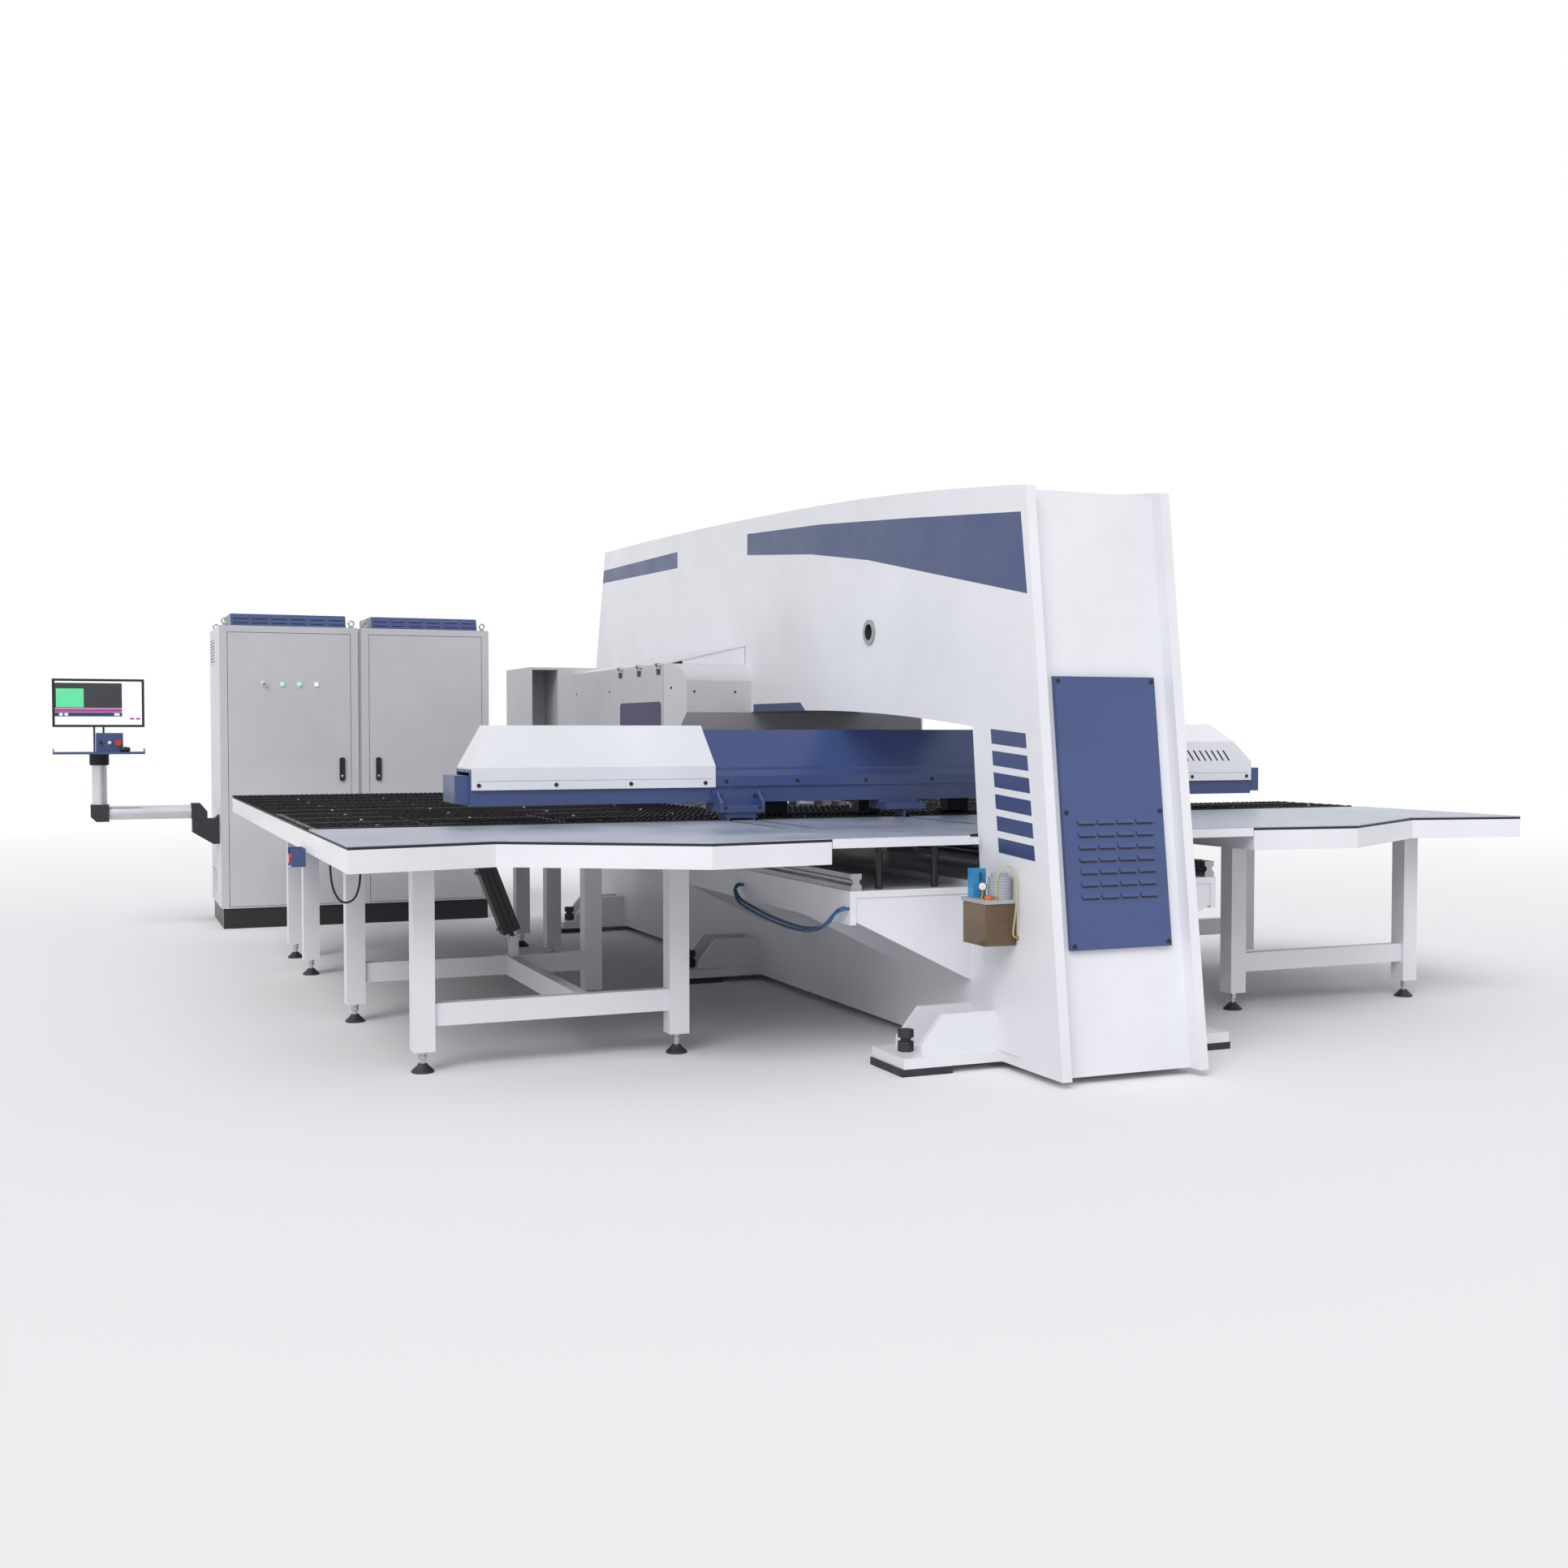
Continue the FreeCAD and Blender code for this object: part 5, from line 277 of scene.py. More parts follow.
# The CAD nodes' material slots first, then those of the scene's own pieces.
MAT = {
    "white_paint": paint("White_enamel", tone("E6E7EC")),
    "grey_paint": paint("Grey_enamel", tone("CBCACF"), rough=0.42),
    "blue_paint": paint("Blue_enamel", tone("3C4E7E"), rough=0.36, dust=0.09),
    "black_paint": paint("Black_enamel", tone("1E1F22"), rough=0.45, dust=0.2),
    "board_black": moulded("Black_board", tone("17181A"), rough=0.6),
    "sheet_steel": brushed("Sheet_steel", tone("B0B7C6"), 0.36, (1.0, 22.0, 1.0), lines=0.1,
                           smudge=0.05, metallic=0.55),
    "machined_steel": brushed("Machined_steel", tone("A9ACB1"), 0.3, (1.0, 1.0, 30.0)),
    "zinc_steel": brushed("Zinc_steel", tone("ADADA6"), 0.36, (12.0, 12.0, 1.0)),
    "cast_black": moulded("Black_casting", tone("2A2B30"), rough=0.55, grain=0.6,
                          scale=160.0),
    "black_plastic": moulded("Black_plastic", tone("1B1C20")),
    "red_plastic": moulded("Red_plastic", tone("C5201E"), rough=0.3, coat=0.3),
    "white_plastic": moulded("White_plastic", tone("E3E5E4"), rough=0.35),
    "lamp_lens": lit("Green_lamp", tone("8CF5C0"), 1.1),
    "violet_pane": clear("Violet_pane", tone("544C93"), 0.08, 0.72),
    "clear_tank": clear("Clear_tank", tone("B79C78"), 0.1, 0.8),
    "aluminium_tube": brushed("Aluminium_tube", tone("D5D7DB"), 0.3, (1.0, 1.0, 25.0),
                              lines=0.12, smudge=0.05, metallic=0.6),
    "motor_grey": paint("Motor_grey", tone("A9ADB4"), rough=0.45),
    "hose_blue": moulded("Blue_hose", tone("16517E"), rough=0.3, coat=0.3),
    "tube_yellow": clear("Straw_tube", tone("DDD6A0"), 0.15, 0.35),
    "chrome": brushed("Bright_steel", tone("D4D6DA"), 0.14, (1.0, 1.0, 8.0), lines=0.08),
    "rubber": moulded("Black_rubber", tone("141416"), rough=0.65, grain=0.5),
    "brass": brushed("Brass", tone("C9A24C"), 0.28, (1.0, 1.0, 20.0)),
    "orange": moulded("Orange_plastic", tone("E2622A"), rough=0.35),
    "oil": clear("Amber_oil", tone("4A2E16"), 0.05, 0.04),
    "lens_white": lit("White_lamp", tone("F6F8FF"), 1.0, edge=0.85),
    # A darker copy of the blue enamel: painted shade for the stripes on the sideways-facing
    # side plates.
    "stripe_blue": paint("Stripe_blue_shaded", tone("2E4271"), rough=0.36, dust=0.07),
    "dark_lid": moulded("Dark_gauge", tone("2B2C30"), rough=0.3, coat=0.2),
    "guard_shade": paint("Dark_grey_enamel", tone("8C8C92"), rough=0.45),
    "bristles": bristles(),
    "screen_white": lit("Screen_white", tone("EDF0F2"), 0.35, edge=0.95),
    "screen_green": lit("Screen_green", tone("5FD79A"), 0.3, edge=0.95),
    "screen_dark": lit("Screen_dark", tone("34353C"), 0.2, edge=0.95),
    "screen_blue": lit("Screen_blue", tone("22395E"), 0.3, edge=0.95),
    "screen_magenta": lit("Screen_magenta", tone("B0338C"), 0.3, edge=0.95),
}
CORD_NODES = ("lubricator_tube", "air_hoses", "loop_hose")
SLOTS = {row["node"]: row["material_slot"] for row in frame["record"]["subparts"]}
for node_name, thing in NODES.items():
    thing.data.materials.clear()
    thing.data.materials.append(MAT[SLOTS[node_name]])
    if node_name not in CORD_NODES:
        soften(thing, 1.2, 2)
NODES["y_ball_screw"].data.materials[0] = thread()
NODES["lubricator_controller"].data.materials[0] = moulded(
    "Sky_blue_plastic", tone("3A8FC6"), rough=0.35, coat=0.2)


# ---------------------------------------------------------------------------- forms

class Form:
    """Faces gathered for one mesh, in millimetres of the machine's datum."""

    def __init__(self):
        self.points = []
        self.faces = []
        self.slots = []

    def add(self, points, faces, slot=0):
        """Faces over a list of points; the slot is the material's place in its list."""
        start = len(self.points)
        self.points += [at(*point) for point in points]
        self.faces += [[start + i for i in face] for face in faces]
        self.slots += [slot] * len(faces)

    def prism(self, loop, rise, slot=0):
        """A flat loop carried along rise."""
        count = len(loop)
        far = [tuple(a + b for a, b in zip(point, rise)) for point in loop]
        sides = [[i, (i + 1) % count, count + (i + 1) % count, count + i]
                 for i in range(count)]
        ends = [list(range(count)), list(range(count, 2 * count))]
        self.add(list(loop) + far, sides + ends, slot)

    def block(self, x, y, z, slot=0):
        """A box between two values on each axis."""
        corners = [(x[0], y[0], z[0]), (x[1], y[0], z[0]), (x[1], y[1], z[0]),
                   (x[0], y[1], z[0])]
        self.prism(corners, (0, 0, z[1] - z[0]), slot)

    def turned(self, place, axis, profile, sides=24, slot=0):
        """Profile of (distance along the axis, radius), turned about the axis."""
        axis = Vector(axis).normalized()
        across = axis.orthogonal().normalized()
        third = axis.cross(across)
        points = []
        for along, radius in profile:
            for i in range(sides):
                turn = math.tau * i / sides
                out = across * math.cos(turn) + third * math.sin(turn)
                points.append(tuple(Vector(place) + axis * along + out * radius))
        faces = []
        for ring in range(len(profile) - 1):
            for i in range(sides):
                j = (i + 1) % sides
                faces.append([ring * sides + i, ring * sides + j,
                              (ring + 1) * sides + j, (ring + 1) * sides + i])
        last = (len(profile) - 1) * sides
        faces += [list(range(sides)), list(range(last, last + sides))]
        self.add(points, faces, slot)

    def ring(self, place, axis, radius, wire, slot=0, sides=28, steps=10):
        """A round bar bent into a ring."""
        axis = Vector(axis).normalized()
        across = axis.orthogonal().normalized()
        third = axis.cross(across)
        points = []
        for i in range(sides):
            turn = math.tau * i / sides
            out = across * math.cos(turn) + third * math.sin(turn)
            for j in range(steps):
                lean = math.tau * j / steps
                points.append(tuple(Vector(place) + out * (radius + wire * math.cos(lean))
                                    + axis * (wire * math.sin(lean))))
        faces = []
        for i in range(sides):
            for j in range(steps):
                k = (i + 1) % sides
                h = (j + 1) % steps
                faces.append([i * steps + j, i * steps + h, k * steps + h, k * steps + j])
        self.add(points, faces, slot)


TREES = {}


def touch(node, start, heading):
    """Where a line from a place of the machine first meets a node, and the face's normal."""
    if node not in TREES:
        mesh = NODES[node].data
        TREES[node] = BVHTree.FromPolygons([v.co.copy() for v in mesh.vertices],
                                           [list(p.vertices) for p in mesh.polygons])
    place, normal, _, _ = TREES[node].ray_cast(at(*start), Vector(heading))
    if place is None:
        return None, None
    return back(place), normal


def make(name, form, body, materials, bevel=0.0, replaces=()):
    """Turns a form into an object that rides on a body; an empty form makes nothing."""
    if not form.faces:
        return
    mesh = bpy.data.meshes.new(name)
    mesh.from_pydata(form.points, [], form.faces)
    mesh.polygons.foreach_set("material_index", form.slots)
    for key in materials:
        mesh.materials.append(MAT[key])
    sheet = bmesh.new()
    sheet.from_mesh(mesh)
    bmesh.ops.recalc_face_normals(sheet, faces=sheet.faces)
    sheet.to_mesh(mesh)
    sheet.free()
    mesh.polygons.foreach_set("use_smooth", [True] * len(mesh.polygons))
    mesh.set_sharp_from_angle(angle=SMOOTH_ANGLE)
    thing = bpy.data.objects.new(name, mesh)
    bpy.context.scene.collection.objects.link(thing)
    if bevel:
        soften(thing, bevel, 3)
    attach(thing, body)
    if replaces:
        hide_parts(*replaces)


def screws(form, node, starts, heading, radius, slot=0):
    """Socket-head screws seated where lines from the starts meet a node."""
    for start in starts:
        place, normal = touch(node, start, heading)
        if place is None:
            continue
        form.turned(place, normal,
                    [(-0.5, radius), (radius * 0.3, radius), (radius * 0.42, radius * 0.86),
                     (radius * 0.42, radius * 0.5), (radius * 0.12, radius * 0.45),
                     (radius * 0.12, 0.2)], 20, slot)


# ------------------------------------------------------------ frame: stripes, screws

PLATE_FACE = 309.7  # the side plates' outer faces, less a bite for the stripes
STRIPES = [
    [(304, 2058.7), (1200, 2139), (2115, 2215), (3031, 2269.6), (3031, 2162.2),
     (2209, 2087), (1591, 2002.6), (256, 1758.5)],
    [(4130, 2285.7), (5605, 2307), (5630, 2227), (4130, 2193.6)],
    [(2280, 1358), (2340, 1397), (2945, 1397), (2945, 1358)],
]
for k in range(6):
    far_top = (516.8 - 11.6 * k, 1269.2 - 81.3 * k)
    near_top = (263.2 - 12.7 * k, 1253.0 - 81.1 * k)
    STRIPES.append([near_top, far_top, (far_top[0] - 7.8, far_top[1] - 55),
                    (near_top[0] - 8.6, near_top[1] - 55)])

stripes = Form()
for side in (-1, 1):
    for loop in STRIPES:
        stripes.prism([(side * PLATE_FACE, y, z) for y, z in loop], (side * 0.8, 0, 0))
make("side_stripes", stripes, "machine", ["stripe_blue"])

panel_screws = Form()
screws(panel_screws, "vent_panel",
       [(x, -100, z) for x in (-201, 201) for z in (491, 967, 1444)], FAR, 9)
make("vent_panel_screws", panel_screws, "machine", ["black_paint"])

# Thin black strips under each louvre hood: painted shade standing in for the dark inside the
# louvre openings.
mouth_shade_strips = Form()
for row in range(7):
    for column in range(4):
        x = (column - 1.5) * 83 + 5
        z = 660 + 44.5 * row
        upper, _ = touch("vent_panel", (x - 40, -100, z - 2), FAR)
        lower, _ = touch("vent_panel", (x - 40, -100, z - 9), FAR)
        if upper is None or lower is None:
            continue
        mouth_shade_strips.prism([(x - 34, upper[1] - 0.5, z - 1), (x + 34, upper[1] - 0.5, z - 1),
                      (x + 34, lower[1] - 0.5, z - 8), (x - 34, lower[1] - 0.5, z - 8)],
                     (0, 0.9, 0))
make("louvre_mouth_shade", mouth_shade_strips, "machine", ["black_paint"])

rail_screws = Form()
screws(rail_screws, "y_rails",
       [(x, y, 790) for x in (-800, 800) for y in range(720, 2900, 120)], DOWN, 7)
make("y_rail_screws", rail_screws, "machine", ["black_paint"])

beads = Form()
for side in (-1, 1):
    for y in (420, 2846, 5135):
        beads.prism([(side * 310, y - 130, 69), (side * 310, y + 400, 69),
                     (side * 316, y + 400, 68), (side * 316, y - 130, 68)],
                    (0, 0, 6))
make("bracket_weld_beads", beads, "machine", ["white_paint"], bevel=2.0)

# -------------------------------------------------------- carriage: screws and seams

cover_screws = Form()
screws(cover_screws, "side_covers",
       [(s * x, 1800, 1034) for s in (-1, 1) for x in (950, 1290, 1620, 1950)],
       FAR, 9)
screws(cover_screws, "centre_cover",
       [(x, 1800, 1040) for x in (-850, -510, -170, 170, 510, 850)], FAR, 9)
screws(cover_screws, "carriage_brackets",
       [(s * (800 + step), 1700, z) for s in (-1, 1) for step in (-80, 80)
        for z in (925, 975)], FAR, 8)
make("cover_screws", cover_screws, "y_carriage", ["black_paint"])

seams = Form()
for side in (-1, 1):
    place, _ = touch("side_covers", (side * 1400, 1800, 1052), FAR)
    if place is not None:
        seams.block(sorted((side * 915, side * 1960)), (place[1] - 0.4, place[1] + 0.4),
                    (1051, 1052.6))
make("cover_seams", seams, "y_carriage", ["guard_shade"])

clamp_screws = Form()
screws(clamp_screws, "clamp_carriage",
       [(x, 1700, z) for x in range(-600, 601, 150) for z in (968, 1078)], FAR, 7)
make("clamp_carriage_screws", clamp_screws, "x_carriage", ["black_paint"])


# ------------------------------------------------------------------- brush tables

ABOVE_BOARDS = 905
BOARD_TOPS = (855, 870)  # a ray that ends between these has met a board, not a ridge
TUFT_TOP = 873.6         # the height of the ridges
TUFT_STEP_X, TUFT_STEP_Y = 30, 36
SHEET_ROOM = 18


def open_board(node, x, y):
    """The board's surface at a place that no steel sheet lies on or near, or None."""
    place, _ = touch(node, (x, y, ABOVE_BOARDS), DOWN)
    if place is None or not BOARD_TOPS[0] < place[2] < BOARD_TOPS[1]:
        return None
    for u, v in ((0, 0), (1, 0), (-1, 0), (0, 1), (0, -1)):
        spot = (x + u * SHEET_ROOM, y + v * SHEET_ROOM, ABOVE_BOARDS)
        if touch("table_sheets", spot, DOWN)[0] is not None:
            return None
    return place


def tufts(name, node, x_pair, y_pair, body):
    """Short bristle tufts standing on a board, up to the height of its ridges."""
    form = Form()
    square = ((-1, -1), (1, -1), (1, 1), (-1, 1))
    faces = [[0, 1, 5, 4], [1, 2, 6, 5], [2, 3, 7, 6], [3, 0, 4, 7], [4, 5, 6, 7]]
    for row, y in enumerate(range(y_pair[0], y_pair[1], TUFT_STEP_Y)):
        shift = (row % 2) * TUFT_STEP_X // 2
        for x in range(x_pair[0] + shift, x_pair[1], TUFT_STEP_X):
            place = open_board(node, x, y)
            if place is None:
                continue
            lean = random.uniform(-2.5, 2.5)
            sway = random.uniform(-2.5, 2.5)
            low = [(x + u * 3, y + v * 3, place[2] - 0.5) for u, v in square]
            high = [(x + u * 6 + lean, y + v * 6 + sway, TUFT_TOP) for u, v in square]
            form.add(low + high, faces)
    make(name, form, body, ["bristles"])


random.seed(597)
tufts("left_tufts", "brush_boards", (-2640, -860), (500, 5600), "machine")
tufts("centre_tufts", "brush_boards", (-860, 860), (500, 5600), "machine")
tufts("right_tufts", "brush_boards", (860, 2640), (500, 5600), "machine")
tufts("trap_tufts", "trapdoor", (-2130, -1562), (2006, 2694), "trap")

for name, node, body in (("ball_rollers", "brush_boards", "machine"),
                         ("trap_ball_rollers", "trapdoor", "trap")):
    balls = Form()
    for column in range(-5, 6):
        for line in range(1, 12):
            x = column * 480 + 60
            y = line * 470 + 160
            place = open_board(node, x, y)
            if place is not None:
                balls.turned((x, y, place[2]), UP,
                             [(-0.5, 14), (3, 14), (3.6, 12), (3.6, 9), (6, 8), (7.6, 5),
                              (8, 0.2)], 18)
    make(name, balls, body, ["zinc_steel"])

rule = Form()
rule.block((-2634, -2612), (1875, 3180), (865, 871.5))
for index in range(26):
    y = 1900 + index * 50
    longer = 4 * (index % 5 == 0)
    rule.block((-2632, -2622 + longer), (y, y + 2), (871, 871.9), 1)
make("edge_rule", rule, "machine", ["zinc_steel", "black_paint"])


def spots(node, reach):
    """Centres of a node's separate places on the floor; the reach is in metres."""
    groups = []
    for vertex in NODES[node].data.vertices:
        if vertex.co.z > 0.003:
            continue
        for group in groups:
            if (group[0] - vertex.co).length < reach:
                group.append(vertex.co.copy())
                break
        else:
            groups.append([vertex.co.copy()])
    centres = []
    for group in groups:
        x = (min(p.x for p in group) + max(p.x for p in group)) / 2
        y = (min(p.y for p in group) + max(p.y for p in group)) / 2
        centres.append((x * 1000 - DATUM_X, y * 1000 - DATUM_Y))
    return centres


feet = Form()
for x, y in spots("table_feet", 0.12):
    feet.turned((x, y, 0), UP,
                [(0, 40), (3, 42), (8, 41), (26, 21), (33, 17), (33, 9)], 32)
    feet.turned((x, y, 32), UP, [(0, 10), (48, 10)], 20, 1)
    for low_z, nut_h in ((50, 12), (66, 13)):
        feet.turned((x, y, low_z), UP,
                    [(0, 15), (1.5, 17), (nut_h - 1.5, 17), (nut_h, 15)], 6, 1)
make("turned_table_feet", feet, "machine", ["cast_black", "chrome"], replaces=("table_feet",))

# ------------------------------------------------------------------ guard and flap

GUARD_SIDE_X = -1300  # well outside the guard's left side
FLAP_HINGE_Z = 1600

flap_handle = Form()
place, _ = touch("cover_flap", (GUARD_SIDE_X, 3490, 1188), RIGHT)
if place is not None:
    face = place[0]
    for y in (3425, 3555):
        flap_handle.block((face - 26, face + 0.5), (y - 6, y + 6), (1182, 1194))
    flap_handle.block((face - 36, face - 24), (3415, 3565), (1180, 1196))
make("flap_pull", flap_handle, "flap", ["black_plastic"], bevel=4.0)

hinge_fixed = Form()
hinge_moving = Form()
for y in (3175, 3500, 3834):  # the three knuckles
    place, _ = touch("cover_flap", (GUARD_SIDE_X, y, FLAP_HINGE_Z), RIGHT)
    if place is None:
        continue
    hinge_moving.turned((place[0] + 7, y - 17, FLAP_HINGE_Z), FAR,
                        [(0, 7), (1, 8.4), (33, 8.4), (34, 7)], 20)
    lower, _ = touch("cover_flap", (GUARD_SIDE_X, y, 1575), RIGHT)
    if lower is not None:
        hinge_moving.block((lower[0] - 5, lower[0] + 0.5), (y - 25, y + 25), (1550, 1592))
    upper, _ = touch("turret_cover", (GUARD_SIDE_X, y, 1628), RIGHT)
    if upper is not None and abs(upper[0] - place[0]) < 60:
        hinge_fixed.block((upper[0] - 5, upper[0] + 0.5), (y - 25, y + 25), (1612, 1646))
make("flap_hinge_leaves", hinge_moving, "flap", ["black_paint"], bevel=0.8)
make("cover_hinge_leaves", hinge_fixed, "machine", ["black_paint"], bevel=0.8)

# The guard's roof slopes down to the machine; a gusset closes the wedge at its near end.
ABOVE_GUARD = 1900
GUSSET_FOOT_Z = 1598


def roof_near_edge(side):
    """The first Y at which the guard's roof is met, or None."""
    for y in range(2960, 3300, 5):
        place, _ = touch("turret_cover", (side * 330, y, ABOVE_GUARD), DOWN)
        if place is not None and place[2] > 1660:
            return y
    return None


gussets = Form()
for side in (-1, 1):
    near = roof_near_edge(side)
    if near is None:
        continue
    edge_line = []
    for step in range(9):
        x = side * (652 - step * 42.4)
        place, _ = touch("turret_cover", (x, near + 6, ABOVE_GUARD), DOWN)
        if place is not None:
            edge_line.append((x, near + 2, place[2] - 0.5))
    if len(edge_line) > 2:
        foot_line = [(x, near + 2, GUSSET_FOOT_Z) for x in (edge_line[-1][0], edge_line[0][0])]
        gussets.prism(edge_line + foot_line, (0, 4, 0))
make("guard_roof_gussets", gussets, "machine", ["white_paint"])

guard_screws = Form()
for side, heading in ((1, LEFT), (-1, RIGHT)):
    screws(guard_screws, "turret_cover",
           [(side * 1300, y, z) for y in (3060, 4060, 4740) for z in (1240, 1480)],
           heading, 6)
screws(guard_screws, "turret_cover",
       [(x, 2700, z) for x in (-620, -400, 400, 620) for z in (1250, 1460)], FAR, 6)
make("guard_screws", guard_screws, "machine", ["black_paint"])

# ----------------------------------------------------------------------- cabinets

DOOR_FACE = 6167.5   # the doors' front, less a bite for what is seated on them
LAMP_Z = 1560
CABINET_SIDE = -2666.5  # the left cabinet's outer side

lamps = Form()
for index in range(3):
    x = -2285 + 106 * index
    lamps.turned((x, DOOR_FACE, LAMP_Z), NEAR,
                 [(0, 16.5), (4, 16.5), (5.5, 15), (5.5, 12)], 28)
    lamps.turned((x, 6163, LAMP_Z), NEAR,
                 [(0, 12.5), (5, 12.5), (8, 10.5), (9.6, 6), (10, 0.2)],
                 28, 2 if index == 2 else 1)
make("lamp_bezels_and_lenses", lamps, "door_l", ["chrome", "lamp_lens", "lens_white"],
     replaces=("pilot_lamps",))

louvres = Form()
shadows = Form()
for y_low in (6590, 6775):
    for z_low, slats in ((1702, 8), (206, 7)):
        for z in range(z_low, z_low + slats * 20, 20):
            louvres.prism([(CABINET_SIDE, y_low, z), (CABINET_SIDE - 5.5, y_low, z + 1),
                           (CABINET_SIDE, y_low, z + 13)], (0, 160, 0))
            # Black strips on the cabinet side between the slats: painted shade for the gaps
            # under each slat.
            shadows.block((CABINET_SIDE - 1.1, CABINET_SIDE), (y_low + 2, y_low + 158),
                          (z + 13, z + 19))
make("cabinet_louvres", louvres, "machine", ["grey_paint"])
make("cabinet_louvre_gap_shade", shadows, "machine", ["black_paint"])

eyes = Form()
for x in (-2631, -1844, -1751, -985):
    for y in (6210, 6940):
        place, _ = touch("cabinets", (x, y, 2300), DOWN)
        if place is None:
            continue
        eyes.turned(place, UP, [(-0.5, 15), (7, 15), (8, 13), (14, 9)], 20)
        eyes.ring((x, y, place[2] + 30), FAR, 17, 5)
make("lifting_eyes", eyes, "machine", ["zinc_steel"])

for node_name, body in (("handle_left", "handle_l"), ("handle_right", "handle_r")):
    low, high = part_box(node_name)
    lock = Form()
    lock.turned(((low.x + high.x) * 500 - DATUM_X, low.y * 1000 - DATUM_Y,
                 low.z * 1000 + 30), NEAR,
                [(-0.5, 8), (1.4, 8), (2, 7), (2, 3.5), (1, 3.2), (1, 0.2)], 24)
    make(node_name + "_lock", lock, body, ["chrome"])

key_ring = Form()
key_ring.turned((-2395, DOOR_FACE, LAMP_Z), NEAR,
                [(0, 19), (3, 19), (4.5, 17), (4.5, 12.6)], 28)
make("key_switch_bezel", key_ring, "door_l", ["chrome"])

# ------------------------------------------------------------------------ pendant

SCREEN_RIM = 15
SCREEN_LOW_Z, SCREEN_HIGH_Z = 1299, 1569

low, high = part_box("monitor")
screen_left = low.x * 1000 - DATUM_X + SCREEN_RIM
screen_right = high.x * 1000 - DATUM_X - SCREEN_RIM
corners = []
for x, z in ((screen_left, SCREEN_LOW_Z), (screen_right, SCREEN_LOW_Z),
             (screen_right, SCREEN_HIGH_Z), (screen_left, SCREEN_HIGH_Z)):
    place, _ = touch("monitor", (x, 5900, z), FAR)
    corners.append(Vector(place if place is not None else (x, 6300, z)))


def on_screen(u, v, proud):
    """A place by its shares of the screen's width and height, proud of the glass."""
    low_edge = corners[0].lerp(corners[1], u)
    high_edge = corners[3].lerp(corners[2], u)
    point = low_edge.lerp(high_edge, v)
    return (point.x, point.y - proud, point.z)


# Left, right, bottom and top shares, how proud, and the slot of each plain patch.
PATCHES = [
    (0.0, 1.0, 0.0, 1.0, 0.3, 0), (0.0, 0.77, 0.38, 0.96, 0.5, 4),
    (0.015, 0.33, 0.4, 0.83, 0.7, 1), (0.0, 0.77, 0.29, 0.37, 0.5, 3),
    (0.0, 0.77, 0.19, 0.285, 0.5, 2), (0.05, 0.09, 0.21, 0.265, 0.7, 0),
    (0.11, 0.15, 0.21, 0.265, 0.7, 0), (0.68, 0.74, 0.21, 0.265, 0.7, 0),
    (0.86, 0.91, 0.12, 0.16, 0.5, 3), (0.93, 0.98, 0.12, 0.16, 0.5, 3),
]
display = Form()
for u0, u1, v0, v1, proud, slot in PATCHES:
    loop = [on_screen(u0, v0, proud), on_screen(u1, v0, proud), on_screen(u1, v1, proud),
            on_screen(u0, v1, proud)]
    display.prism(loop, (0, 0.6, 0), slot)
make("display_image", display, "screen",
     ["screen_white", "screen_green", "screen_blue", "screen_magenta", "screen_dark"])

sleeve = Form()
sleeve.turned((-3376, 6350, 1047), UP,
              [(0, 48), (0, 55), (3, 57.4), (62, 57.4), (66, 60), (68, 60), (68, 48)], 32)
make("coupling_sleeve", sleeve, "pendant_station", ["rubber"])

mouse = Form()
wheel = Form()
low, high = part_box("pendant_head")
mouse_x = (low.x + high.x) * 500 - DATUM_X + 150
place, _ = touch("pendant_head", (mouse_x, 6240, 1250), DOWN)
if place is not None:
    z = place[2]
    mouse.block((mouse_x - 30, mouse_x + 30), (6190, 6290), (z, z + 30))
    wheel.turned((mouse_x - 4, 6215, z + 27), RIGHT,
                 [(0, 6), (1, 7), (7, 7), (8, 6)], 20)
make("mouse", mouse, "pendant_station", ["black_plastic"], bevel=13.0)
make("mouse_wheel", wheel, "pendant_station", ["rubber"])

# ----------------------------------------------------------------- lift cylinder

foot = Vector((-1700, 2350, 330))               # the cylinder's lower end
rise = Vector((-183, 0, 476)).normalized()      # along it
across = Vector((476, 0, 183)).normalized()
width = Vector(FAR)
trim = Form()
for u in (-1, 1):
    for v in (-1, 1):
        corner = foot + across * 27 * u + width * 27 * v
        trim.turned(corner + rise * 370, rise, [(-0.5, 8), (1, 9), (8, 9), (9, 7.5)], 6, 1)
    for v in (-1, 1):
        start = foot + across * (12 * u - 3) + width * (40.4 * v) + rise * 60
        loop = [start, start + across * 6, start + across * 6 + rise * 290, start + rise * 290]
        trim.prism([tuple(p) for p in loop], (0, -0.8 * v, 0))
    port = foot + rise * (205 + 135 * u) - across * 40
    trim.turned(port, -across, [(-0.5, 10), (8, 10), (9, 7), (16, 7), (17, 5)], 6, 1)
make("cylinder_trim", trim, "cylinder", ["rubber", "zinc_steel"], bevel=0.5)

# --------------------------------------------------------------------- lubricator

keypad = Form()
keypad.block((-403.6, -402.8), (418, 446), (708, 738))
keypad.block((-403.8, -402.8), (420, 428), (688, 696), 1)
keypad.block((-403.8, -402.8), (434, 442), (688, 696), 1)
make("controller_keypad", keypad, "machine", ["screen_dark", "red_plastic"])

oil = Form()
oil.block((-432, -316), (326, 486), (481, 562))
make("lubricator_oil", oil, "machine", ["oil"], bevel=3.0)

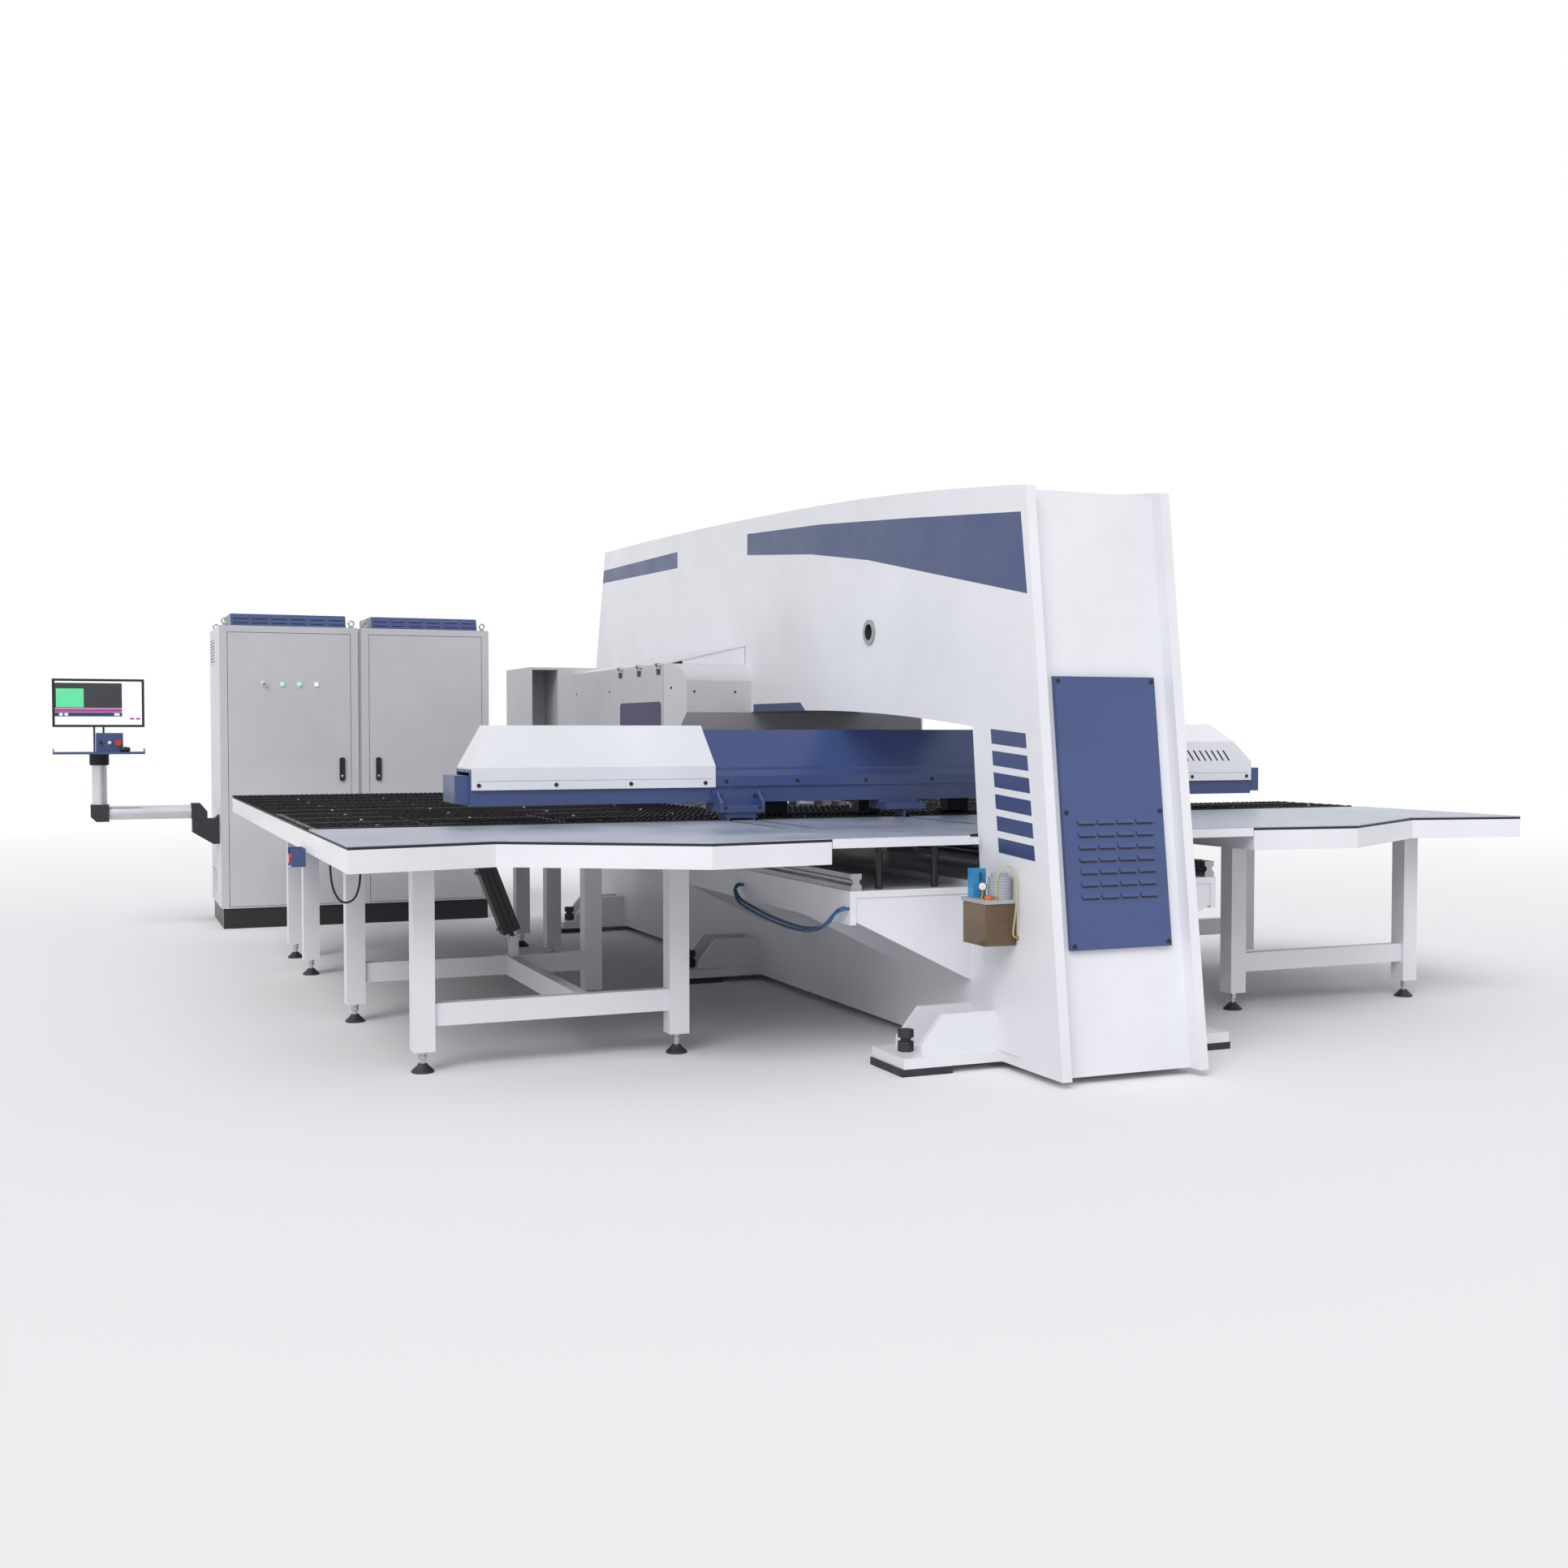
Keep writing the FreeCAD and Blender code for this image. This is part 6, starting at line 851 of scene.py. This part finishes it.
fittings = Form()
for index in range(7):
    fittings.turned((-358, 362, 656 + index * 11), UP,
                    [(0, 40), (0, 44), (4, 44), (4, 40)], 32)
fittings.turned((-416, 344, 643.5), UP,
                [(0, 15), (9, 15), (11, 13), (14, 13), (15, 11)], 24, 1)
gauge = (-417, 384, 690)
gauge_look = (-0.49, -0.87, 0.0)
fittings.turned((-417, 384, 644), UP, [(0, 6), (12, 6), (13, 4), (34, 4)], 12, 2)
fittings.turned(gauge, gauge_look, [(-8, 15), (-6, 17), (4, 17), (5, 15), (3, 14)], 28, 3)
fittings.turned(gauge, gauge_look, [(2.5, 14), (3.4, 13.8)], 28, 4)
fittings.turned((-392, 328, 640), UP, [(0, 8), (8, 8), (9, 6), (16, 6), (17, 4)], 6, 2)
fittings.turned((-310, 308, 504), LEFT, [(0, 9), (7, 9), (8, 6), (12, 6)], 6, 2)
make("lubricator_fittings", fittings, "machine",
     ["motor_grey", "orange", "brass", "dark_lid", "white_plastic"], bevel=0.6)


# -------------------------------------------------------------------------- cords

def cord(name, points, diameter, material, node):
    """A hose along the route of a CAD node, drawn as a round curve that hides the node; the
    length is in metres.
    """
    curve = bpy.data.curves.new(name, "CURVE")
    curve.dimensions = "3D"
    curve.resolution_u = 12
    curve.bevel_depth = diameter / 2000
    curve.bevel_resolution = 5
    curve.use_fill_caps = True
    spline = curve.splines.new("NURBS")
    spline.points.add(len(points) - 1)
    for control, place in zip(spline.points, points):
        control.co = (*at(*place), 1.0)
    spline.order_u = 3
    spline.use_endpoint_u = True
    curve.materials.append(MAT[material])
    thing = bpy.data.objects.new(name, curve)
    bpy.context.scene.collection.objects.link(thing)
    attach(thing, "machine")
    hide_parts(node)


cord("lubricator_tube_line",
     [(-392, 328, 644), (-392, 328, 704), (-384, 320, 756), (-340, 314, 772),
      (-324, 306, 736), (-322, 300, 674), (-326, 298, 606), (-332, 302, 552),
      (-334, 308, 504), (-310, 308, 504)],
     6, "tube_yellow", "lubricator_tube")
cord("air_hose_line",
     [(-828, 1790, 595), (-860, 1790, 595), (-868, 1712, 541), (-864, 1574, 521),
      (-860, 1406, 501), (-856, 1228, 489), (-856, 1054, 487), (-858, 900, 499),
      (-862, 776, 527), (-860, 700, 597), (-828, 700, 597)],
     12, "hose_blue", "air_hoses")
cord("air_hose_line_2",
     [(-828, 1754, 595), (-876, 1754, 595), (-884, 1690, 531), (-880, 1574, 511),
      (-876, 1406, 491), (-872, 1228, 479), (-872, 1054, 477), (-874, 900, 489),
      (-878, 786, 517), (-876, 664, 597), (-828, 664, 597)],
     12, "hose_blue", "air_hoses")
cord("loop_hose_line",
     [(-2620, 1400, 774), (-2618, 1404, 718), (-2608, 1402, 662), (-2580, 1396, 616),
      (-2534, 1394, 624), (-2512, 1400, 678), (-2508, 1404, 744), (-2512, 1402, 808),
      (-2510, 1400, 856)],
     8, "rubber", "loop_hose")

# ---------------------------------------------------------------- floor and light

FLOOR_REACH = 60000


def put(tree, kind, **inputs):
    """A new node with some of its inputs set."""
    node = tree.nodes.new(kind)
    for name, value in inputs.items():
        node.inputs[name.replace("_", " ")].default_value = value
    return node


def join(tree, *pairs):
    """Links pairs of an output and an input."""
    for source, target in pairs:
        tree.links.new(source, target)


# A pale floor that keeps the shadow near the machine and fades to white away from it.
floor_form = Form()
floor_form.add([(u * FLOOR_REACH, v * FLOOR_REACH, 0)
                for u, v in ((-1, -1), (1, -1), (1, 1), (-1, 1))], [[0, 1, 2, 3]])
floor_mesh = bpy.data.meshes.new("Studio_floor")
floor_mesh.from_pydata(floor_form.points, [], floor_form.faces)
floor_look = bpy.data.materials.new("Pale_floor")
floor_look.use_nodes = True
tree = floor_look.node_tree
tree.nodes.clear()
place_node = put(tree, "ShaderNodeTexCoord")
distance = put(tree, "ShaderNodeVectorMath")
distance.operation = "LENGTH"
share = put(tree, "ShaderNodeMapRange", From_Min=5.0, From_Max=15.0)
matt = put(tree, "ShaderNodeBsdfDiffuse", Color=(0.88, 0.88, 0.89, 1.0))
glow = put(tree, "ShaderNodeEmission", Color=(1.0, 1.0, 1.0, 1.0))
blend = put(tree, "ShaderNodeMixShader")
output = put(tree, "ShaderNodeOutputMaterial")
join(tree, (place_node.outputs["Object"], distance.inputs[0]),
     (distance.outputs["Value"], share.inputs["Value"]),
     (share.outputs["Result"], blend.inputs[0]),
     (matt.outputs[0], blend.inputs[1]),
     (glow.outputs[0], blend.inputs[2]),
     (blend.outputs[0], output.inputs["Surface"]))
floor_mesh.materials.append(floor_look)
floor = bpy.data.objects.new("Studio_floor", floor_mesh)
bpy.context.scene.collection.objects.link(floor)

sun_data = bpy.data.lights.new("Key_light", "SUN")
sun_data.energy = 1.6
sun_data.angle = math.radians(38)
sun = bpy.data.objects.new("Key_light", sun_data)
sun.rotation_euler = Vector((0.5, 0.55, -0.67)).to_track_quat("-Z", "Y").to_euler()
bpy.context.scene.collection.objects.link(sun)

# Soft light from all round; what the camera, reflections and clear parts see is white.
world = bpy.data.worlds.new("Studio")
world.use_nodes = True
tree = world.node_tree
tree.nodes.clear()
rays = put(tree, "ShaderNodeLightPath")
camera_or_glossy = put(tree, "ShaderNodeMath")
camera_or_glossy.operation = "MAXIMUM"
seen_directly = put(tree, "ShaderNodeMath")
seen_directly.operation = "MAXIMUM"
soft_sky = put(tree, "ShaderNodeBackground", Color=(0.97, 0.98, 1.0, 1.0), Strength=0.62)
white_sky = put(tree, "ShaderNodeBackground", Color=(1.0, 1.0, 1.0, 1.0))
blend = put(tree, "ShaderNodeMixShader")
output = put(tree, "ShaderNodeOutputWorld")
join(tree, (rays.outputs["Is Camera Ray"], camera_or_glossy.inputs[0]),
     (rays.outputs["Is Glossy Ray"], camera_or_glossy.inputs[1]),
     (camera_or_glossy.outputs[0], seen_directly.inputs[0]),
     (rays.outputs["Is Transmission Ray"], seen_directly.inputs[1]),
     (seen_directly.outputs[0], blend.inputs[0]),
     (soft_sky.outputs[0], blend.inputs[1]),
     (white_sky.outputs[0], blend.inputs[2]),
     (blend.outputs[0], output.inputs["Surface"]))
bpy.context.scene.world = world
bpy.context.scene.view_settings.view_transform = "Standard"
